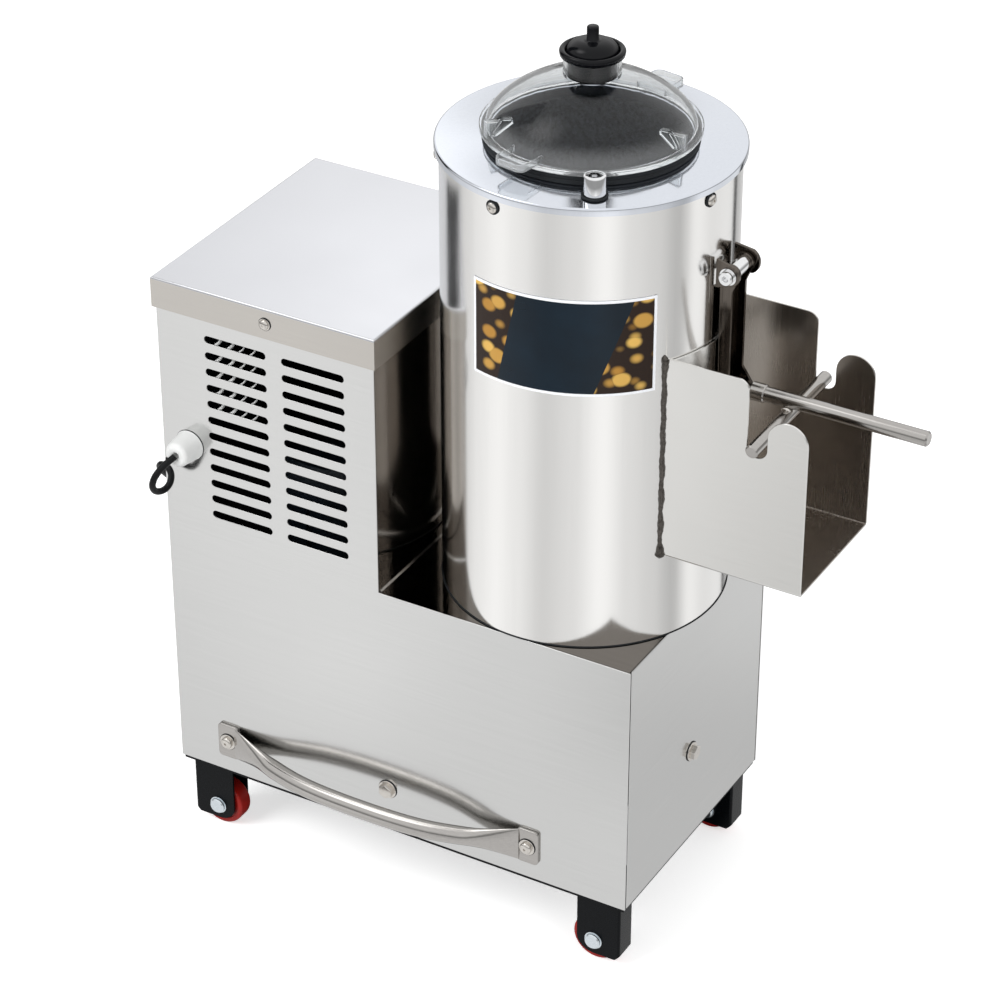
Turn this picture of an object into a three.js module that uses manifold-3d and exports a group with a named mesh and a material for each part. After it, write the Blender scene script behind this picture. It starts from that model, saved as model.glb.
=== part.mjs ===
// Electric potato peeler: a sheet-steel body on castors, an abrasive-lined drum with a clear lid,
// a belt-driven peeling disc, and a discharge chute closed by a latched door.
// Millimetres. x runs left to right, y from front to back, z up from the body's underside.
import * as THREE from 'three';
import { mergeVertices } from 'three/addons/utils/BufferGeometryUtils.js';
import Module from 'manifold-3d';

const wasm = await Module();
wasm.setup();

// Clearances shared by all pieces
const fitGap = 0.3;
const runGap = 0.8;
const overrun = 3;
const weldDistance = 0.0001;

// Body panels; the low part's length and the depth follow from the drum that stands on it
const lowHeight = 270;
const cabinetWidth = 235;
const cabinetHeight = 541;
const drumOverhang = 13.5;
const drumFrontGap = 0.5;
const drumBackGap = 8.5;
const panelSheet = 1.5;
const lidSkirt = 31;
const lidOverhang = 3;

// Cooling slots of the front panel: two columns
const slotLength = 67;
const slotWidth = 7.6;
const slotPitch = 17.2;
const slotRows = 12;
const slotDrop = 48;
const slotMargin = 32;
const slotColumnGap = 17;

// Base frame of angle section, and its cross members
const angleLeg = 30;
const angleThickness = 3;
const baseDrop = 4;
const memberWidth = 34;

// Castors
const wheelRadius = 24.5;
const wheelWidth = 18;
const wheelBore = 4.4;
const wheelCrown = 3;
const axleDrop = 54;
const axleRadius = 4;
const axleHeadRadius = 6.6;
const axleHeadHeight = 4;
const casterSideInset = 36;
const casterEndInset = 20;
const forkWebReach = 27.5;
const forkOpenReach = 16;
const forkHalfWidth = 13;
const forkSheet = 2.3;
const forkToe = 16;
const forkChamfer = 5;

// Drum
const drumRadius = 133.5;
const drumSideGap = 11.5;
const drumSheet = 2;
const ringSheet = 2.5;
const ringLap = 4.3;
const ringLip = 7;
const ringFlat = 45.5;
const mouthSheet = 2;
const mouthHeight = 8;
const liningThickness = 3;
const floorRise = 20;
const floorSheet = 2.5;
const drumScrewDrop = 16;
const drumScrewAngles = [-150, -100, -11.7];
const drumScrewRadius = 5;
const drumScrewHeight = 2.6;

// Lid
const gasketWidth = 5.5;
const gasketHeight = 9.5;
const rimLap = 10;
const rimThickness = 4.5;
const domeWall = 3;
const domeRise = 46.5;
const domeArch = 25;
const neckRadius = 25.5;
const neckHeight = 21;
const tabLength = 17;
const tabWidth = 32;
const tabSheet = 3;
const tabLip = 7;
const frontTabAngle = -100;
const gussetAngles = [-133, -6];
const gussetLength = 26;
const gussetHeight = 13;
const gussetSheet = 9;
const plugOverlap = 2.8;
const plugFlangeHeight = 7;
const plugSkirtDepth = 17;
const plugWall = 2.5;
const plugConeHeight = 9;
const knobRadius = 5.2;
const knobHeight = 15;
const knobFootShare = 1.4;
const knobNeckShare = 0.9;
const postRadius = 9.8;
const postHeight = 20;
const postSeal = 2;
const postSealHeight = 2.5;
const postInset = 26;
const postAngle = -60;

// Label on the drum
const labelWidthAngle = 73.7;
const labelCentreAngle = -72.7;
const labelDrop = 90;
const labelHeight = 94;
const labelThickness = 0.6;

// Chute
const chuteHalfWidth = 70;
const chuteSheet = 2;
const chuteRise = 69;
const chuteHeight = 204;
const chuteReach = 119.5;
const chuteCorner = 10;
const latchSlotBack = 0.8;
const latchSlotFront = 6.2;
const humpDrop = 32;

// Discharge opening and its door
const doorHalfWidth = 65;
const doorGap = 0.5;
const doorSheet = 2;
const doorTopGap = 3;
const doorFloorGap = 5;
const windowHalfWidth = 54;
const windowSill = 17;
const windowHead = 18;

// Door hinge and arm
const hingeReach = 13;
const hingeRise = 65;
const ringRise = 90;
const hingePinRadius = 4;
const pinHeadRadius = 8;
const pinHeadHeight = 4;
const pinNutRadius = 6.5;
const pinNutHeight = 7;
const armHalfWidth = 15;
const armSheet = 3;
const armDepth = 12;
const armEyeRadius = 9;
const earSheet = 3;
const earRadius = 14;
const bracketSheet = 2;
const bracketHalfHeight = 27;
const bracketHalfWidth = 24;

// Latch: handle rod with a cross bar that rests in the chute's slots
const latchReach = 19.5;
const latchDrop = 61;
const latchPinRadius = 3.5;
const latchHeadRadius = 6;
const latchHeadHeight = 2.5;
const barReach = 68.5;
const barDrop = 66;
const barRadius = 6.25;
const barOverhang = 6;
const rodRadius = 7;
const rodReach = 201.5;
const collarRadius = 8.5;
const collarLength = 14;
const heelRadius = 7.5;
const heelReach = 12;

// Pull handle on the front
const handleLeft = 58.5;
const handleSpan = 338;
const handleZ = 38;
const handleRadius = 7;
const handleReach = 32;
const handlePlateWidth = 23;
const handlePlateHeight = 38;
const handlePlateSheet = 3;
const handlePlateCorner = 6;
const boltRadius = 6;
const boltHeight = 4;
const washerRadius = 8.5;
const washerHeight = 1.2;
const frontBoltShift = 6;
const frontBoltRise = 8;
const sideBoltY = 130;
const sideBoltZ = 103;
const lidScrewShift = 4.5;

// Drive
const motorRadius = 72;
const motorHeight = 190;
const motorFin = 4;
const motorFins = 12;
const fanCoverHeight = 34;
const motorShaftRadius = 9.5;
const standRise = 40;
const standSheet = 4;
const standInset = 33.5;
const standHalfDepth = 70;
const standPost = 10;
const pulleyLevel = 72;
const driveRadius = 26;
const drivenInset = 29.5;
const pulleyFlange = 2.5;
const beltHeight = 10;
const beltThickness = 8;
const shaftRadius = 12.5;
const shaftDrop = 20;
const shaftRise = 22;
const bearingRadius = 26;
const bearingHeight = 15;
const housingWall = 6;
const housingFlange = 56;
const housingFlangeSheet = 6;
const housingDrop = 120;
const sealHeight = 6;
const discInset = 7.5;
const discThickness = 10;
const discRise = 10;
const discWave = 7;
const discHubRadius = 22;
const discRampShare = 0.9;
const waveSinkShare = 0.3;

// Mains lead
const glandX = 29.5;
const glandZ = 369;
const glandFlangeRadius = 15;
const glandFlangeHeight = 5;
const glandRadius = 11.5;
const glandReach = 24;
const glandNose = 5.5;
const leadRadius = 3.25;
const leadSteps = 56;
const leadSides = 8;
const coilRadius = 42;
const coilPitch = 7.3;
const coilX = 78;
const coilY = 346;
const coilTurnsPerLayer = 1.75;
const coilSteps = 24;
const coilSides = 6;
const plugLength = 38;
const plugWidth = 26;
const plugThickness = 24;
const plugPinLength = 19;
const plugPinRadius = 2.4;
const plugPinSpacing = 19;
const plugSleeve = 16;
const plugSleeveRadius = 5;

// Facets
const roundSides = 48;
const innerSides = 24;
const smallSides = 12;
const beltSteps = 16;
const lidSides = 36;
const handleSides = 8;
const handleSteps = 22;
const hexSides = 6;
const arcSteps = 2;
const bendSteps = 6;

// Places worked out from the sizes above
const wheelFlat = wheelRadius * Math.cos(Math.PI / innerSides);
const wheelBottom = -axleDrop - wheelFlat;
const leftmost = -lidOverhang;
const drumX = cabinetWidth + drumSideGap + drumRadius;
const drumY = drumFrontGap + drumRadius;
const bodyLength = drumX + drumRadius - drumOverhang;
const bodyDepth = drumY + drumRadius + drumBackGap;
const deckTop = lowHeight;
const deckUnderside = deckTop - panelSheet;
const floorLevel = deckTop + floorRise;
const chuteBottom = floorLevel + chuteRise;
const chuteTop = chuteBottom + chuteHeight;
const chuteEnd = drumX + drumRadius + chuteReach;
const humpTop = chuteTop - humpDrop;
const doorTop = chuteTop - doorTopGap;
const windowBottom = chuteBottom + windowSill;
const windowTop = chuteTop - windowHead;
const hingeX = drumX + drumRadius + hingeReach;
const hingeZ = chuteTop + hingeRise;
const latchX = drumX + drumRadius + latchReach;
const latchZ = chuteTop - latchDrop;
const barX = drumX + drumRadius + barReach;
const barZ = chuteTop - barDrop;
const rodEnd = drumX + drumRadius + rodReach;
const ringTop = hingeZ + ringRise;
const ringRadius = drumRadius + ringLap;
const mouthRadius = drumRadius - ringFlat;
const rimRadius = mouthRadius + rimLap;
const postReach = mouthRadius + postInset;
const plugFlange = neckRadius + plugOverlap;
const labelTop = ringTop - labelDrop;
const handleRight = handleLeft + handleSpan;
const motorX = cabinetWidth / 2;
const standTop = pulleyLevel + standRise;
const standHalfWidth = motorX - standInset;
const drivenRadius = drumRadius - drivenInset;
const shaftBottom = pulleyLevel - shaftDrop;
const discLevel = floorLevel + discRise;
const discRadius = drumRadius - discInset;
const shaftTop = discLevel + shaftRise;
const housingBottom = deckTop - housingDrop;
const frontmost = -handleReach - handleRadius;
const backmost = bodyDepth + lidOverhang;
const centreX = (leftmost + rodEnd) / 2;
const centreY = (frontmost + backmost) / 2;
const panelTop = cabinetHeight - panelSheet - fitGap;
const rodZ = barZ + barRadius + rodRadius + fitGap;
const wallFront = drumY - chuteHalfWidth;
const wallBack = drumY + chuteHalfWidth;
const rimLevel = ringTop + gasketHeight + fitGap;
const domeTop = rimLevel + rimThickness + domeRise;
const neckTop = domeTop + neckHeight - rimThickness;
const doorInner = drumRadius + doorGap;
const doorOuter = doorInner + doorSheet;
const doorBottom = chuteBottom + chuteSheet + doorFloorGap;

const finish = (color, roughness, metalness, extra = {}) =>
  new THREE.MeshStandardMaterial({ color, roughness, metalness, ...extra });
const satinSteel = () => finish(0xd6d6d4, 0.35, 1);
const polishedSteel = () => finish(0xdcdcda, 0.12, 1);
const chromeSteel = () => finish(0xe4e4e4, 0.08, 1);
const darkSteel = () => finish(0x1b1d20, 0.5, 0.2);
const blackPlastic = () => finish(0x101114, 0.3, 0);
const clearPlastic = () => finish(0xeef1f4, 0.08, 0, { transparent: true, opacity: 0.35 });

const machine = new THREE.Group();
machine.position.set(-centreX, -centreY, -wheelBottom);

// Turns a closed three.js geometry into a solid, with its faces pointing out.
function toSolid(geometry) {
  const plain = geometry.clone();
  plain.deleteAttribute('normal');
  plain.deleteAttribute('uv');
  const merged = mergeVertices(plain, weldDistance);
  const position = merged.getAttribute('position');
  const index = merged.index.array;
  const kept = [];
  let volume = 0;
  const [a, b, c] = [new THREE.Vector3(), new THREE.Vector3(), new THREE.Vector3()];
  for (let i = 0; i < index.length; i += 3) {
    const [p, q, r] = [index[i], index[i + 1], index[i + 2]];
    if (p === q || q === r || p === r) continue;
    a.fromBufferAttribute(position, p);
    b.fromBufferAttribute(position, q);
    c.fromBufferAttribute(position, r);
    volume += a.dot(b.cross(c));
    kept.push(p, q, r);
  }
  if (volume < 0) {
    for (let i = 0; i < kept.length; i += 3) [kept[i], kept[i + 1]] = [kept[i + 1], kept[i]];
  }
  return new wasm.Manifold(new wasm.Mesh({
    numProp: 3,
    vertProperties: new Float32Array(position.array),
    triVerts: new Uint32Array(kept),
  }));
}

function toGeometry(solid) {
  const { vertProperties, triVerts } = solid.getMesh();
  const geometry = new THREE.BufferGeometry();
  geometry.setAttribute('position', new THREE.BufferAttribute(vertProperties, 3));
  geometry.setIndex(new THREE.BufferAttribute(triVerts, 1));
  geometry.computeVertexNormals();
  return geometry;
}

// Adds one named piece to the machine.
function piece(name, solid, material) {
  const mesh = new THREE.Mesh(toGeometry(solid), material);
  mesh.name = name;
  machine.add(mesh);
}

function box(x0, x1, y0, y1, z0, z1) {
  const geometry = new THREE.BoxGeometry(x1 - x0, y1 - y0, z1 - z0);
  return toSolid(geometry.translate((x0 + x1) / 2, (y0 + y1) / 2, (z0 + z1) / 2));
}

// Cylinder between two points.
function cylinder(radius, from, to, sides = smallSides) {
  const start = new THREE.Vector3(...from);
  const along = new THREE.Vector3(...to).sub(start);
  const geometry = new THREE.CylinderGeometry(radius, radius, along.length(), sides);
  const turn = new THREE.Quaternion().setFromUnitVectors(
    new THREE.Vector3(0, 1, 0), along.clone().normalize());
  geometry.applyQuaternion(turn);
  const middle = start.addScaledVector(along, 1 / 2);
  return toSolid(geometry.translate(middle.x, middle.y, middle.z));
}

// Body of revolution about a vertical axis; the profile is a closed list of [radius, height].
function turned(profile, x, y, sides = roundSides) {
  const points = [...profile, profile[0]].map(([r, z]) => new THREE.Vector2(r, z));
  const geometry = new THREE.LatheGeometry(points, sides);
  return toSolid(geometry.rotateX(Math.PI / 2).translate(x, y, 0));
}

function extruded(shape, depth, curveSegments) {
  return new THREE.ExtrudeGeometry(shape, { depth, bevelEnabled: false, curveSegments });
}

// Shape drawn in x and z, run along y.
function sideSlab(shape, y0, y1, steps = bendSteps) {
  return toSolid(extruded(shape, y1 - y0, steps).rotateX(Math.PI / 2).translate(0, y1, 0));
}

// Shape drawn in x and y, run along z.
function planSlab(shape, z0, z1, steps = bendSteps) {
  return toSolid(extruded(shape, z1 - z0, steps).translate(0, 0, z0));
}

function outline(points) {
  return new THREE.Shape(points.map(([u, v]) => new THREE.Vector2(u, v)));
}

function roundedOutline(u0, u1, v0, v1, corner) {
  const shape = new THREE.Shape();
  shape.absarc(u1 - corner, v1 - corner, corner, 0, Math.PI / 2);
  shape.absarc(u0 + corner, v1 - corner, corner, Math.PI / 2, Math.PI);
  shape.absarc(u0 + corner, v0 + corner, corner, Math.PI, 1.5 * Math.PI);
  shape.absarc(u1 - corner, v0 + corner, corner, 1.5 * Math.PI, 2 * Math.PI);
  return shape;
}

function tubeAround(inner, outer, z0, z1, x = drumX, y = drumY, sides = roundSides) {
  return turned([[inner, z0], [outer, z0], [outer, z1], [inner, z1]], x, y, sides);
}

function discAt(radius, z0, z1, x = drumX, y = drumY, sides = roundSides) {
  return turned([[0, z0], [radius, z0], [radius, z1], [0, z1]], x, y, sides);
}

const radians = THREE.MathUtils.degToRad;

function onDrum(radius, angle) {
  const turn = radians(angle);
  return [drumX + radius * Math.cos(turn), drumY + radius * Math.sin(turn)];
}

// Turns a solid's geometry about the drum's axis, from the +x side to the given angle.
function aboutDrum(solid, angle) {
  const geometry = toGeometry(solid).translate(-drumX, -drumY, 0);
  return toSolid(geometry.rotateZ(radians(angle)).translate(drumX, drumY, 0));
}

// Body panels: front, back with left side, right side, step and deck
function frontPanel() {
  const shape = outline([
    [0, 0], [bodyLength, 0], [bodyLength, lowHeight], [cabinetWidth, lowHeight],
    [cabinetWidth, panelTop], [0, panelTop],
  ]);
  const end = slotWidth / 2;
  for (let column = 0; column < 2; column += 1) {
    for (let row = 0; row < slotRows; row += 1) {
      const right = cabinetWidth - slotMargin - column * (slotLength + slotColumnGap);
      const x = right - slotLength;
      const z = cabinetHeight - slotDrop - row * slotPitch;
      const slot = new THREE.Path();
      slot.absarc(x + slotLength - end, z, end, -Math.PI / 2, Math.PI / 2);
      slot.absarc(x + end, z, end, Math.PI / 2, 1.5 * Math.PI);
      shape.holes.push(slot);
    }
  }
  return sideSlab(shape, 0, panelSheet, arcSteps);
}

function rearWrap() {
  const shape = outline([
    [0, 0], [bodyLength, 0], [bodyLength, lowHeight], [cabinetWidth, lowHeight],
    [cabinetWidth, panelTop], [0, panelTop],
  ]);
  const back = sideSlab(shape, bodyDepth - panelSheet, bodyDepth);
  const left = box(0, panelSheet, panelSheet + fitGap, bodyDepth - panelSheet / 2, 0, panelTop);
  return back.add(left);
}

const innerFront = panelSheet + fitGap;
const innerBack = bodyDepth - panelSheet - fitGap;

function rightPanel() {
  return box(bodyLength - panelSheet, bodyLength, innerFront, innerBack, 0, lowHeight);
}

function stepPanel() {
  return box(cabinetWidth - panelSheet, cabinetWidth, innerFront, innerBack,
    deckTop + fitGap, panelTop);
}

function deckPlate() {
  const plate = box(cabinetWidth - panelSheet, bodyLength - panelSheet - fitGap,
    innerFront, innerBack, deckUnderside, deckTop);
  const hole = discAt(bearingRadius + housingWall + runGap,
    deckUnderside - overrun, deckTop + overrun);
  return plate.subtract(hole);
}

function cabinetLid() {
  const [x0, x1] = [-lidOverhang, cabinetWidth + lidOverhang];
  const [y0, y1] = [-lidOverhang, bodyDepth + lidOverhang];
  const [z0, z1] = [cabinetHeight - lidSkirt, cabinetHeight];
  const shell = box(x0, x1, y0, y1, z0, z1);
  const hollow = box(x0 + panelSheet, x1 - panelSheet, y0 + panelSheet, y1 - panelSheet,
    z0 - overrun, z1 - panelSheet);
  return shell.subtract(hollow);
}

// Base: a ring of angle section with two members under the motor
function baseFrame() {
  const [x0, x1] = [innerFront, bodyLength - innerFront];
  const [y0, y1] = [innerFront, bodyDepth - innerFront];
  const ring = box(x0, x1, y0, y1, -baseDrop, angleLeg - baseDrop);
  const above = box(x0 + angleThickness, x1 - angleThickness, y0 + angleThickness,
    y1 - angleThickness, angleThickness - baseDrop, angleLeg + overrun);
  const middle = box(x0 + angleLeg, x1 - angleLeg, y0 + angleLeg, y1 - angleLeg,
    -baseDrop - overrun, angleLeg + overrun);
  let frame = ring.subtract(above).subtract(middle);
  for (const side of [-1, 1]) {
    const x = motorX + side * standHalfWidth;
    frame = frame.add(box(x - memberWidth / 2, x + memberWidth / 2, y0 + angleThickness / 2,
      y1 - angleThickness / 2, -baseDrop, angleThickness - baseDrop));
  }
  return frame;
}

// Castor fork: two cheeks, a top plate and a web on the outer side; side is -1 for left, 1 for right.
function casterFork(x, y, side) {
  const top = -baseDrop - fitGap;
  const bottom = -axleDrop - forkToe;
  const points = [
    [forkWebReach, top], [forkWebReach, bottom + forkChamfer], [forkWebReach - forkChamfer, bottom],
  ];
  for (let i = 0; i <= bendSteps; i += 1) {
    const turn = (i / bendSteps) * (Math.PI / 2);
    points.push([-forkOpenReach * Math.sin(turn), -axleDrop - forkToe * Math.cos(turn)]);
  }
  points.push([-forkOpenReach, top]);
  const cheek = outline(points.map(([reach, z]) => [x + side * reach, z]));
  const [near, far] = [y - forkHalfWidth, y + forkHalfWidth];
  const across = (from, to) => [x + side * from, x + side * to].sort((a, b) => a - b);
  const hole = cylinder(axleRadius + fitGap, [x, near - overrun, -axleDrop],
    [x, far + overrun, -axleDrop]);
  const cheeks = sideSlab(cheek, near, near + forkSheet).add(sideSlab(cheek, far - forkSheet, far));
  const plate = box(...across(-forkOpenReach, forkWebReach), near, far, top - forkSheet, top);
  const web = box(...across(forkWebReach - forkSheet, forkWebReach), near, far,
    bottom + forkChamfer, top);
  return cheeks.add(plate).add(web).subtract(hole);
}

function casterWheel(x, y) {
  const half = wheelWidth / 2;
  const profile = [
    [wheelBore, -half], [wheelRadius - wheelCrown, -half], [wheelRadius, wheelCrown - half],
    [wheelRadius, half - wheelCrown], [wheelRadius - wheelCrown, half], [wheelBore, half],
  ];
  const points = [...profile, profile[0]].map(([r, h]) => new THREE.Vector2(r, h));
  const tread = new THREE.LatheGeometry(points, innerSides).rotateY(Math.PI / innerSides);
  return toSolid(tread.translate(x, y, -axleDrop));
}

function casterAxle(x, y) {
  const face = forkHalfWidth + fitGap;
  const end = face + axleHeadHeight;
  const pin = cylinder(axleRadius, [x, y - end, -axleDrop], [x, y + end, -axleDrop]);
  const head = (from, to) => cylinder(axleHeadRadius, [x, y + from, -axleDrop],
    [x, y + to, -axleDrop]);
  return pin.add(head(-end, -face)).add(head(face, end));
}

function addCasters() {
  const places = {
    front_left: [casterSideInset, casterEndInset, -1],
    front_right: [bodyLength - casterSideInset, casterEndInset, 1],
    rear_left: [casterSideInset, bodyDepth - casterEndInset, -1],
    rear_right: [bodyLength - casterSideInset, bodyDepth - casterEndInset, 1],
  };
  for (const [name, [x, y, side]] of Object.entries(places)) {
    piece(`${name}_fork`, casterFork(x, y, side), darkSteel());
    piece(`${name}_wheel`, casterWheel(x, y), finish(0xb92c1e, 0.35, 0));
    piece(`${name}_axle`, casterAxle(x, y), chromeSteel());
  }
}

// Drum: shell, lining and floor
const windowCut = () => box(drumX, drumX + drumRadius + overrun,
  drumY - windowHalfWidth, drumY + windowHalfWidth, windowBottom, windowTop);

function drumShell() {
  return tubeAround(drumRadius - drumSheet, drumRadius, deckTop + fitGap,
    ringTop - ringSheet - fitGap).subtract(windowCut());
}

function drumLining() {
  const outer = drumRadius - drumSheet - fitGap;
  return tubeAround(outer - liningThickness, outer, floorLevel + fitGap,
    ringTop - ringLip - ringSheet - fitGap).subtract(windowCut());
}

// The drum's floor is a shallow pan whose rim stands on the deck.
function drumFloor() {
  const outer = drumRadius - drumSheet - fitGap;
  const hole = shaftRadius + runGap;
  const under = floorLevel - floorSheet;
  return turned([
    [hole, under], [outer - floorSheet, under], [outer - floorSheet, deckTop + fitGap],
    [outer, deckTop + fitGap], [outer, floorLevel], [hole, floorLevel],
  ], drumX, drumY);
}

function topRing() {
  const under = ringTop - ringSheet;
  const lip = ringTop - ringLip;
  return turned([
    [mouthRadius, under], [ringRadius - ringSheet, under], [ringRadius - ringSheet, lip],
    [ringRadius, lip], [ringRadius, ringTop], [mouthRadius + mouthSheet, ringTop],
    [mouthRadius + mouthSheet, ringTop + mouthHeight], [mouthRadius, ringTop + mouthHeight],
  ], drumX, drumY);
}

function drumScrew(angle) {
  const z = ringTop - drumScrewDrop;
  const [x0, y0] = onDrum(drumRadius + fitGap, angle);
  const [x1, y1] = onDrum(drumRadius + fitGap + drumScrewHeight, angle);
  const head = cylinder(drumScrewRadius, [x0, y0, z], [x1, y1, z]);
  const curve = tubeAround(0, drumRadius + fitGap, z - washerRadius, z + washerRadius);
  return head.subtract(curve);
}

// Lid: rim, dome, neck, two finger tabs and two gussets in one clear moulding
function domeProfile(extra) {
  const steps = bendSteps - 1;
  const base = rimLevel + rimThickness;
  const rise = domeRise + extra;
  const points = [];
  for (let i = 0; i <= steps; i += 1) {
    const turn = (i / steps) * (Math.PI / 2);
    const reach = rimRadius - gasketWidth - neckRadius;
    const height = domeArch * Math.sin(turn) + (rise - domeArch) * (1 - Math.cos(turn));
    points.push([neckRadius + reach * Math.cos(turn) + extra, base + height]);
  }
  return points;
}

function domeShell() {
  const outer = domeProfile(0);
  const inner = domeProfile(-domeWall).reverse();
  const top = domeTop - domeWall;
  const profile = [
    [rimRadius - gasketWidth - domeWall, rimLevel], [rimRadius, rimLevel],
    [rimRadius, rimLevel + rimThickness], ...outer, [neckRadius, neckTop],
    [neckRadius - domeWall, neckTop], [neckRadius - domeWall, top], ...inner,
  ];
  return turned(profile, drumX, drumY, lidSides);
}

function domeTab(angle) {
  const start = rimRadius - tabSheet;
  const end = rimRadius + tabLength;
  const top = rimLevel + rimThickness;
  const plate = box(drumX + start, drumX + end, drumY - tabWidth / 2, drumY + tabWidth / 2,
    top - tabSheet, top);
  const lip = box(drumX + end - tabSheet, drumX + end, drumY - tabWidth / 2,
    drumY + tabWidth / 2, top - tabLip, top);
  return aboutDrum(plate.add(lip), angle);
}

function domeGusset(angle) {
  const end = rimRadius - fitGap;
  const start = end - gussetLength;
  const base = rimLevel + rimThickness / 2;
  const rise = base + rimThickness;
  const fin = outline([
    [drumX + start, rise + gussetHeight], [drumX + end, base], [drumX + end, rise],
    [drumX + end, rise + gussetHeight],
  ]);
  const slab = sideSlab(fin, drumY - gussetSheet / 2, drumY + gussetSheet / 2);
  return aboutDrum(slab, angle);
}

function domeLid() {
  let lid = domeShell();
  lid = lid.add(domeTab(frontTabAngle)).add(domeTab(frontTabAngle + 180));
  for (const angle of gussetAngles) lid = lid.add(domeGusset(angle));
  return lid;
}

function lidGasket() {
  const inner = mouthRadius + mouthSheet + fitGap;
  return tubeAround(inner, inner + gasketWidth, ringTop + fitGap, rimLevel - fitGap);
}

function lidPlug() {
  const base = neckTop + fitGap;
  const skirt = neckRadius - domeWall - runGap;
  const top = base + plugFlangeHeight;
  const knobBase = top + plugConeHeight;
  const soft = plugFlangeHeight / 3;
  return turned([
    [0, base + plugWall], [skirt - plugWall, base + plugWall],
    [skirt - plugWall, base - plugSkirtDepth], [skirt, base - plugSkirtDepth], [skirt, base], [plugFlange - soft, base],
    [plugFlange, base + soft], [plugFlange, top - soft], [plugFlange - soft, top],
    [knobRadius * knobFootShare, knobBase], [knobRadius * knobNeckShare, knobBase + soft],
    [knobRadius, knobBase + knobHeight - soft], [knobRadius - soft / 2, knobBase + knobHeight],
    [0, knobBase + knobHeight],
  ], drumX, drumY, innerSides);
}

function lidPost() {
  const [x, y] = onDrum(postReach, postAngle);
  const base = ringTop + fitGap;
  const seal = postRadius + postSeal;
  const top = base + postHeight;
  return turned([
    [0, base], [seal, base], [seal, base + postSealHeight], [postRadius, base + postSealHeight],
    [postRadius, top - postSeal / 2], [postRadius - postSeal / 2, top], [0, top],
  ], x, y, smallSides);
}

// A sheet bent round the drum between two radii, cut from a ring.
function drumSheetPiece(inner, outer, z0, z1, centreAngle, widthAngle) {
  const half = radians(widthAngle / 2);
  const shape = new THREE.Shape();
  const middle = radians(centreAngle);
  shape.absarc(drumX, drumY, outer, middle - half, middle + half, false);
  shape.absarc(drumX, drumY, inner, middle + half, middle - half, true);
  const geometry = new THREE.ExtrudeGeometry(shape, {
    depth: z1 - z0, bevelEnabled: false, curveSegments: bendSteps,
  });
  return toSolid(geometry.translate(0, 0, z0));
}

function labelPlate() {
  const inner = drumRadius + fitGap;
  return drumSheetPiece(inner, inner + labelThickness, labelTop - labelHeight, labelTop,
    labelCentreAngle, labelWidthAngle);
}

// Chute: two side walls with a latch slot each, and a floor
function chuteWallOutline() {
  const slotBack = barX - barRadius - latchSlotBack;
  const slotFront = barX + barRadius + latchSlotFront;
  const slotRadius = (slotFront - slotBack) / 2;
  const barShift = (slotFront + slotBack) / 2 - barX;
  const seatRadius = slotRadius - barRadius - fitGap;
  const slotCentre = barZ + Math.sqrt(seatRadius ** 2 - barShift ** 2);
  const humpRadius = (chuteEnd - slotFront) / 2;
  const shape = new THREE.Shape();
  shape.moveTo(drumX, chuteBottom);
  shape.lineTo(chuteEnd, chuteBottom);
  shape.absarc(chuteEnd - humpRadius, humpTop - humpRadius, humpRadius, 0, Math.PI, false);
  shape.absarc(slotBack + slotRadius, slotCentre, slotRadius, 0, -Math.PI, true);
  shape.absarc(slotBack - chuteCorner, chuteTop - chuteCorner, chuteCorner, 0, Math.PI / 2, false);
  shape.lineTo(drumX, chuteTop);
  return shape;
}

function chute() {
  const wall = chuteWallOutline();
  const front = sideSlab(wall, wallFront, wallFront + chuteSheet);
  const back = sideSlab(wall, wallBack - chuteSheet, wallBack);
  const floor = box(drumX, chuteEnd, wallFront, wallBack, chuteBottom, chuteBottom + chuteSheet);
  const drum = discAt(drumRadius + fitGap, chuteBottom - overrun, chuteTop + overrun);
  return front.add(back).add(floor).subtract(drum);
}

// Door: a curved plate over the discharge opening
function doorPlate() {
  const ring = tubeAround(doorInner, doorOuter, doorBottom, doorTop);
  return ring.intersect(box(drumX, drumX + doorOuter + overrun, drumY - doorHalfWidth,
    drumY + doorHalfWidth, doorBottom - overrun, doorTop + overrun));
}

// Arm: a channel welded to the door, with an eye at the top and the latch pivot below
function doorArm() {
  const web = drumX + doorOuter + fitGap;
  const cheek = new THREE.Shape();
  cheek.moveTo(web, latchZ);
  cheek.absarc(latchX, latchZ, armEyeRadius, -0.9 * Math.PI, 0.1 * Math.PI, false);
  cheek.lineTo(web + armDepth, latchZ + collarLength + collarRadius);
  cheek.lineTo(web + armDepth, hingeZ - armEyeRadius * 2);
  cheek.absarc(hingeX, hingeZ, armEyeRadius, 0, Math.PI, false);
  cheek.lineTo(web, hingeZ - armEyeRadius * 2);
  const front = sideSlab(cheek, drumY - armHalfWidth, drumY - armHalfWidth + armSheet);
  const back = sideSlab(cheek, drumY + armHalfWidth - armSheet, drumY + armHalfWidth);
  const strap = box(web, web + armSheet, drumY - armHalfWidth, drumY + armHalfWidth,
    latchZ, hingeZ - armEyeRadius * 2);
  const eyeSleeve = cylinder(hingePinRadius + armSheet, [hingeX, drumY - armHalfWidth, hingeZ],
    [hingeX, drumY + armHalfWidth, hingeZ]);
  const reach = armHalfWidth + overrun;
  const bore = (radius, x, z) => cylinder(radius, [x, drumY - reach, z], [x, drumY + reach, z]);
  return front.add(back).add(strap).add(eyeSleeve)
    .subtract(bore(hingePinRadius + fitGap, hingeX, hingeZ))
    .subtract(bore(latchPinRadius + fitGap, latchX, latchZ));
}

const earInner = armHalfWidth + runGap;
const earOuter = earInner + earSheet;

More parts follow.
